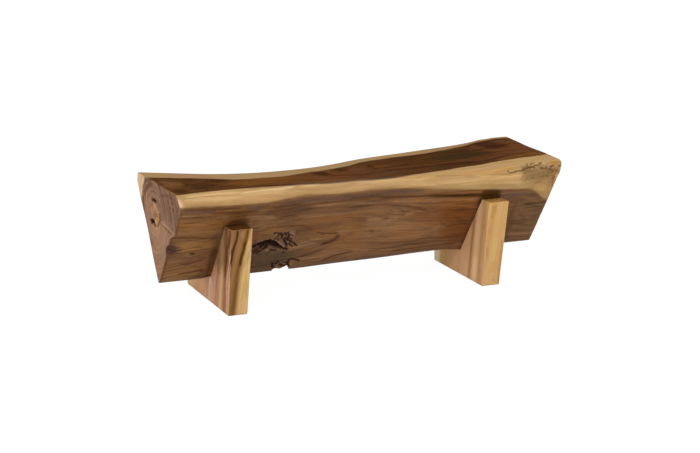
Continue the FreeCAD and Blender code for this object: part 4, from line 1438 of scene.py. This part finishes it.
LEFT_FRONT_STRIPES = [
    (-600, "9a7248"), (-583, "80583a"), (-570, "8a6040"), (-561, "8c6438"), (-555, "926c40"),
    (-546, "89653a"), (-538, "7d5530"), (-532, "876036"), (-526, "ae8854"), (-515, "d0ab6e"),
    (-509, "c89e68"), (-505, "d4ae74"), (-497, "dab476"), (-485, "dcb276"), (-470, "deb682"),
]
LEFT_SIDE_STRIPES = [
    (-205, "b88a68"), (-190, "b08462"), (-172, "9c7050"), (-160, "7c5236"), (-148, "8a5c40"),
    (-130, "b08458"), (-112, "c09a68"), (-92, "a87c58"), (-74, "a07052"), (-55, "b48468"),
    (-35, "b48468"), (-10, "c49878"), (7, "c8a080"), (20, "b08462"), (45, "c09270"), (94, "c8925c"),
    (130, "c0906c"), (190, "c09c70"), (257, "c8a878"),
]
RIGHT_FRONT_STRIPES = [
    (400, "c8a058"), (408, "cca85e"), (416, "c89c5c"), (426, "c4985a"), (436, "cc9e66"), (450, "d0a56d"),
    (470, "cc9e64"), (490, "d0a46a"),
]
RIGHT_SIDE_STRIPES = [
    (-212, "b08a66"), (-184, "a57e58"), (-167, "9a744c"), (-150, "b08a64"), (-131, "bc9a74"),
    (-112, "b08c66"), (-95, "8a6438"), (-80, "b08a64"), (-29, "b48c66"), (0, "ac845e"), (20, "b88e66"),
    (62, "b88e62"), (110, "b08a5c"), (148, "b4925c"), (162, "c0a478"), (205, "c8ac84"), (230, "bc9a70"),
]

# Curved lines over them: (height, place) points, half width, colour, strength

LEFT_FRONT_LINES = [
    (
        [(330, -531), (300, -535), (280, -539), (260, -545), (240, -550), (205, -553), (180, -556)],
        7, "4a2a08", 0.95,
    ),
    ([(330, -497), (300, -498), (280, -500), (260, -505)], 5, "6a3c18", 0.85),
    ([(285, -503), (260, -506), (240, -510), (221, -514), (205, -518), (180, -522)], 8, "54300c", 0.95),
    ([(200, -519), (170, -525), (130, -530), (90, -532), (50, -536), (10, -543)], 7, "75502e", 0.6),
    # a painted highlight along the front's left arris
    ([(205, -554), (120, -554), (40, -554)], 2.5, "c09c78", 0.7),
    ([(330, -548), (280, -552), (250, -555)], 5, "8e6648", 0.6),
    ([(290, -491), (230, -490)], 6, "d2b068", 0.6),
    ([(170, -496), (60, -492)], 9, "ceaa62", 0.6),
    ([(60, -505), (0, -508)], 13, "d8a67c", 0.6),
    ([(320, -515), (290, -516)], 8, "a07c58", 0.5),
]
LEFT_SIDE_LINES = [
    (
        [(330, -258), (300, -250), (270, -237), (240, -214), (200, -202), (160, -190), (130, -186)],
        17, "5c3616", 0.9,
    ),
    ([(330, -232), (290, -218), (262, -205)], 10, "85592c", 0.6),
    ([(240, -245), (226, -242), (170, -219), (115, -202), (60, -192), (8, -188)], 5, "c8a284", 0.8),
    ([(125, -188), (100, -185), (60, -177), (20, -170)], 9, "8e6248", 0.6),
    ([(120, -140), (60, -126), (5, -106)], 18, "bc9a6c", 0.6),
    ([(200, -128), (150, -112), (128, -100)], 26, "7e5c3a", 0.6),
    ([(60, 84), (0, 90)], 24, "c4946a", 0.5),
]
RIGHT_FRONT_LINES = [
    ([(330, 455), (290, 454), (262, 452)], 9, "ac8046", 0.6),
    ([(325, 462), (290, 463)], 7, "b4845a", 0.6),
    ([(236, 445), (205, 446)], 5, "b48a52", 0.5),
    ([(165, 446), (135, 447), (105, 449)], 7, "b48a50", 0.6),
    ([(200, 476), (150, 474), (90, 472)], 14, "d2b070", 0.6),
    ([(190, 500), (130, 503), (70, 502), (0, 506)], 6, "a47c4a", 0.6),
    ([(60, 470), (0, 466)], 22, "d6aa78", 0.6),
    ([(30, 482), (12, 488)], 7, "b88c58", 0.5),
]
RIGHT_SIDE_LINES = [
    ([(300, -229), (250, -225), (205, -219)], 6, "946c42", 0.6),
    ([(260, -243), (220, -236), (175, -228)], 5, "a0784a", 0.5),
    ([(225, -140), (180, -130), (140, -121), (100, -112), (60, -106), (20, -100)], 6, "8c6438", 0.7),
    ([(110, -150), (60, -145), (10, -140)], 24, "c6a27a", 0.6),
    ([(110, -205), (60, -200)], 12, "b08c68", 0.5),
    ([(26, -8), (6, -4)], 9, "a07450", 0.5),
    ([(180, 185), (-16, 181)], 34, "d8c6a6", 0.3),
    ([(110, 184), (-16, 181)], 34, "d8c6a6", 0.35),
    ([(64, 183), (-16, 181)], 34, "dccdae", 0.4),
    ([(70, 214), (-16, 212)], 7, "9a948c", 0.55),
]

# The legs' looks. The stripes lean by a share of the height, bend with its square and tilt on the
# wide faces. The ears' end grain has a colour and spots of another.

LEFT_LEG = {
    "front_stripes": LEFT_FRONT_STRIPES,
    "front_lines": LEFT_FRONT_LINES,
    "lean": 0.0,
    "bend": -0.42,
    "side_stripes": LEFT_SIDE_STRIPES,
    "side_lines": LEFT_SIDE_LINES,
    "tilt": 0.19,
    "side_light": 0.86,
    "shade": 0.42,
    "grain_strength": 0.72,
    # the left ear's end grain is painted much darker than the right's: painted shade under the log
    "ears": ("58350f", "2e1806"),
}
RIGHT_LEG = {
    "front_stripes": RIGHT_FRONT_STRIPES,
    "front_lines": RIGHT_FRONT_LINES,
    "lean": -0.1,
    "bend": 0.0,
    "side_stripes": RIGHT_SIDE_STRIPES,
    "side_lines": RIGHT_SIDE_LINES,
    "tilt": 0.18,
    "side_light": 0.66,
    "shade": 0.0,
    "grain_strength": 0.2,
    "ears": ("b4884a", "744c20"),
}
# how far, in metres, the stripes wander on the edges and on the wide faces
EDGE_WANDER = 0.012
FACE_WANDER = 0.03
FACE_RAGGED = 0.024
# heights in metres over which the log casts painted shade on the wide faces, and the floor a painted
# contact shadow on the feet
UNDER_LOG = (0.115, 0.2)
FOOT_CONTACT = (0.002, 0.007)


def curved_line(tree, colour, across, up, level, line):
    """A given line of colour on a leg's face, which fades out at both ends."""
    points, half_width, code, strength = line
    heights, places = zip(*points)
    low, high = min(heights), max(heights)
    near, far = min(places) - 1, max(places) + 1
    curve = add(tree, "ShaderNodeFloatCurve", Value=ranged(tree, up, low * MM, high * MM, steps="LINEAR"))
    bends = curve.mapping.curves[0].points
    for number, (height, place) in enumerate(sorted(points)):
        spot = ((height - low) / (high - low), (place - near) / (far - near))
        if number == 0:
            bends[0].location = spot
        elif number == len(points) - 1:
            bends[-1].location = spot
        else:
            bends.new(*spot)
    curve.mapping.update()
    centre = ranged(tree, curve.outputs["Value"], 0, 1, near * MM, far * MM, "LINEAR")
    gap = math_of(tree, "ABSOLUTE", minus(tree, across, centre))
    amount = ranged(tree, gap, half_width * MM, 0.25 * half_width * MM)
    fade = min(14, 0.3 * (high - low)) * MM
    amount = times(tree, amount, ranged(tree, up, low * MM, low * MM + fade))
    amount = times(tree, amount, ranged(tree, up, high * MM, high * MM - fade))
    return mixed(tree, times(tree, amount, strength), colour, hex_colour(code, level))


def leg_edge(tree, leg, x, z, wander, ragged):
    """The colours of a leg's narrow edges, and the place across their grain."""
    across = plus(tree, x, times(tree, z, leg["lean"]))
    bend = times(tree, times(tree, z, z), leg["bend"])
    across = plus(tree, across, bend)
    across = plus(tree, across, times(tree, wander, EDGE_WANDER))
    colour = ramp(tree, across, leg["front_stripes"], LEG_FRONT_LIGHT)
    ragged_x = plus(tree, x, times(tree, ragged, EDGE_WANDER))
    for line in leg["front_lines"]:
        colour = curved_line(tree, colour, ragged_x, z, LEG_FRONT_LIGHT, line)
    return colour, across


def leg_wide_face(tree, leg, y, z, wander, ragged):
    """The colours of a leg's wide faces, with painted shade under the log, and the place across their
    grain.
    """
    deep = plus(tree, y, times(tree, z, leg["tilt"]))
    deep = plus(tree, deep, times(tree, wander, FACE_WANDER))
    colour = ramp(tree, deep, leg["side_stripes"], leg["side_light"])
    # painted shade high on the wide faces, under the log
    shade = times(tree, ranged(tree, z, *UNDER_LOG), leg["shade"])
    under = minus(tree, 1.0, shade)
    colour = darkened(tree, colour, under, under, under)
    ragged_y = plus(tree, y, times(tree, ragged, FACE_RAGGED))
    for line in leg["side_lines"]:
        colour = curved_line(tree, colour, ragged_y, z, leg["side_light"], line)
    return colour, deep


def leg_material(side, leg):
    """Upright grain whose stripes show across the narrow edges and across the wide faces."""
    material = new_material(f"{side}_leg_wood")
    tree = material.node_tree
    place = add(tree, "ShaderNodeTexCoord").outputs["Object"]
    parts = add(tree, "ShaderNodeSeparateXYZ", Vector=place)
    x, y, z = (parts.outputs[axis] for axis in "XYZ")
    wander = minus(tree, streaks(tree, place, (9, 9, 2.6), 2.0), 0.5)
    ragged = minus(tree, streaks(tree, place, (30, 30, 22), 3.0), 0.5)
    edge, across = leg_edge(tree, leg, x, z, wander, ragged)
    wide_face, deep = leg_wide_face(tree, leg, y, z, wander, ragged)
    normal = add(tree, "ShaderNodeNewGeometry").outputs["Normal"]
    facing = add(tree, "ShaderNodeSeparateXYZ", Vector=normal)
    wide = ranged(tree, math_of(tree, "ABSOLUTE", facing.outputs["X"]), 0.5, 0.85)
    colour = mixed(tree, wide, edge, wide_face)
    ear = ranged(tree, facing.outputs["Z"], 0.75, 0.9)
    spots = ranged(tree, streaks(tree, place, (90, 60, 60), 2.0), 0.54, 0.66)
    end_grain = mixed(tree, spots, *(hex_colour(code) for code in leg["ears"]))
    colour = mixed(tree, times(tree, ear, 0.88), colour, end_grain)
    # painted contact shadow along the bottom of the feet
    foot_shadow = ranged(tree, z, *FOOT_CONTACT, 0.6, 1.0)
    colour = darkened(tree, colour, foot_shadow, foot_shadow, foot_shadow)
    upright = add(tree, "ShaderNodeCombineXYZ", X=z, Y=across, Z=deep).outputs["Vector"]
    wood_surface(tree, colour, upright, leg["grain_strength"], 0.04, 0.5)
    return material


def zinc_material():
    """Dull zinc plating with faint crystals and rubbed spots."""
    material = new_material("zinc_plating")
    tree = material.node_tree
    place = add(tree, "ShaderNodeTexCoord").outputs["Object"]
    grains = add(tree, "ShaderNodeTexVoronoi", Vector=place, Scale=420.0).outputs["Distance"]
    spots = streaks(tree, place, (160, 160, 160), 3.0)
    crystals = mixed(tree, ranged(tree, grains, 0.0, 0.9), hex_colour("b4b8ba"), hex_colour("9a9ea2"))
    colour = mixed(tree, ranged(tree, spots, 0.55, 0.75), crystals, hex_colour("84888c"))
    rough = ranged(tree, spots, 0.3, 0.7, 0.32, 0.5)
    finish_surface(tree, colour, spots, 0.15, 0.0002, Metallic=1.0, Roughness=rough)
    return material


def plastic_material():
    """Moulded brown plastic with a fine texture and scuffed spots."""
    material = new_material("glide_plastic_moulded")
    tree = material.node_tree
    place = add(tree, "ShaderNodeTexCoord").outputs["Object"]
    texture = streaks(tree, place, (900, 900, 900), 2.0)
    scuffs = streaks(tree, place, (60, 160, 60), 3.0)
    colour = mixed(tree, ranged(tree, scuffs, 0.5, 0.75), hex_colour("4a3a2c"), hex_colour("6a5848"))
    rough = ranged(tree, scuffs, 0.4, 0.7, 0.48, 0.62)
    finish_surface(tree, colour, texture, 0.3, 0.0002, Roughness=rough)
    return material


def dress(node, material):
    """Gives a CAD node a material."""
    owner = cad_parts[node]
    owner.data.materials.clear()
    owner.data.materials.append(material)


# The log as a piece

def placed(name, data):
    """An object that the scene shows."""
    made = bpy.data.objects.new(name, data)
    bpy.context.scene.collection.objects.link(made)
    return made


def keep(mesh, name, kind, values):
    """Stores values on the mesh's vertices for its material."""
    field = {"FLOAT_COLOR": "color", "FLOAT_VECTOR": "vector", "FLOAT": "value"}[kind]
    attribute = mesh.attributes.new(name, kind, "POINT")
    attribute.data.foreach_set(field, values.astype(np.float32).ravel())


def make_log():
    log = Log()
    shape_log(log)
    colour, strength, ring, turn = paint_log(log)
    mesh = bpy.data.meshes.new("live_edge_log")
    mesh.from_pydata((log.place * MM).tolist(), [], log.faces())
    mesh.update()
    keep(mesh, "wood_colour", "FLOAT_COLOR", np.column_stack([colour, np.ones(len(colour))]))
    along = np.where(log.cap, turn, log.base[:, 0])
    around = np.where(log.cap, 0, turn)
    keep(mesh, "grain", "FLOAT_VECTOR", np.column_stack([along, ring, around]) * MM)
    keep(mesh, "grain_strength", "FLOAT", strength)
    sheen = 0.04 * log.on("front", "back", "keel") + 0.12 * log.on("belt") + 0.05 * log.on("back_round")
    keep(mesh, "sheen", "FLOAT", sheen)
    mesh.shade_smooth()
    piece = placed("live_edge_log", mesh)
    piece.data.materials.append(log_material())
    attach(piece, "root")
    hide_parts("log_seat")


# Studio

CAMERA_PLACE = (-2.642246, -6.244937, 1.916068)
CAMERA_YAW = math.radians(22.9)
CAMERA_PITCH = math.radians(14.0012)
LENS = 97.714
SENSOR = 36
AMBIENT = 0.62
FLOOR_REACH = 30
FLOOR_GLOW = 1.1
FLOOR_GLOW_SHARE = 0.86
# name, place, size and power of each lamp
LAMPS = [
    ("key", (-2.6, -3.2, 4.2), 2.6, 115),
    ("front_low", (1.2, -4.5, 1.2), 2.4, 55),
    ("left_fill", (-5.0, -1.0, 1.5), 2.4, 45),
]
LAMP_TARGET = (0, 0, 0.3)
# how bright white renders on each face of the wood
FRONT_LIGHT = 0.9
TOP_LIGHT = 1.05
BELT_LIGHT = 1.15
LEFT_END_LIGHT = 1.1
RIGHT_END_LIGHT = 0.8
LEG_FRONT_LIGHT = 1.1


def make_camera():
    """The camera that took the photo."""
    data = bpy.data.cameras.new("camera")
    data.lens = LENS
    data.sensor_width = SENSOR
    data.clip_end = 60
    camera = placed("camera", data)
    camera.location = CAMERA_PLACE
    camera.rotation_euler = (math.pi / 2 - CAMERA_PITCH, 0, -CAMERA_YAW)
    bpy.context.scene.camera = camera


def shown_rays(tree):
    """1 for rays that see or mirror the background, 0 for rays that light the object."""
    path = tree.nodes.new("ShaderNodeLightPath")
    seen = math_of(tree, "MAXIMUM", path.outputs["Is Camera Ray"], path.outputs["Is Glossy Ray"])
    return math_of(tree, "MAXIMUM", seen, path.outputs["Is Transmission Ray"])


def mix_shaders(tree, share, first, second, output_kind):
    """Two shaders mixed by a share and joined to an output."""
    mix = tree.nodes.new("ShaderNodeMixShader")
    for socket, value in zip(mix.inputs, (share, first.outputs[0], second.outputs[0])):
        plug(tree, socket, value)
    output = tree.nodes.new(output_kind)
    tree.links.new(mix.outputs[0], output.inputs["Surface"])


def make_world():
    """White where it is seen, softer where it lights the bench."""
    world = bpy.data.worlds.new("studio")
    bpy.context.scene.world = world
    world.use_nodes = True
    tree = world.node_tree
    tree.nodes.clear()
    white = add(tree, "ShaderNodeBackground", Color=grey(1), Strength=1.0)
    soft = add(tree, "ShaderNodeBackground", Color=grey(1), Strength=AMBIENT)
    mix_shaders(tree, shown_rays(tree), soft, white, "ShaderNodeOutputWorld")


def make_floor():
    """A pale floor that keeps a faint shadow and reads as white."""
    mesh = bpy.data.meshes.new("floor")
    signs = [(-1, -1), (1, -1), (1, 1), (-1, 1)]
    corners = [(FLOOR_REACH * x, FLOOR_REACH * y, 0) for x, y in signs]
    mesh.from_pydata(corners, [], [(0, 1, 2, 3)])
    floor = placed("floor", mesh)
    material = new_material("pale_floor")
    tree = material.node_tree
    matt = add(tree, "ShaderNodeBsdfDiffuse", Color=grey(0.8))
    glow = add(tree, "ShaderNodeEmission", Color=grey(1), Strength=FLOOR_GLOW)
    share = times(tree, shown_rays(tree), FLOOR_GLOW_SHARE)
    mix_shaders(tree, share, matt, glow, "ShaderNodeOutputMaterial")
    mesh.materials.append(material)


def make_lamp(name, place, size, power):
    """A soft square lamp aimed at the bench."""
    data = bpy.data.lights.new(name, "AREA")
    data.shape = "SQUARE"
    data.size = size
    data.energy = power
    lamp = placed(name, data)
    lamp.location = place
    x, y, z = np.array(LAMP_TARGET) - place
    lamp.rotation_euler = (math.atan2(math.hypot(x, y), -z), 0, math.atan2(x, -y) + math.pi)


make_log()
legs = {"left": LEFT_LEG, "right": RIGHT_LEG}
woods = {side: leg_material(side, leg) for side, leg in legs.items()}
zinc = zinc_material()
plastic = plastic_material()
for side in legs:
    dress(f"{side}_cradle_leg", woods[side])
    dress(f"{side}_leg_lag_screws", zinc)
    dress(f"{side}_leg_washers", zinc)
    dress(f"{side}_leg_glide_nails", zinc)
    dress(f"{side}_leg_floor_glides", plastic)
make_camera()
make_world()
make_floor()
for lamp_values in LAMPS:
    make_lamp(*lamp_values)
bpy.context.scene.view_settings.view_transform = "Standard"
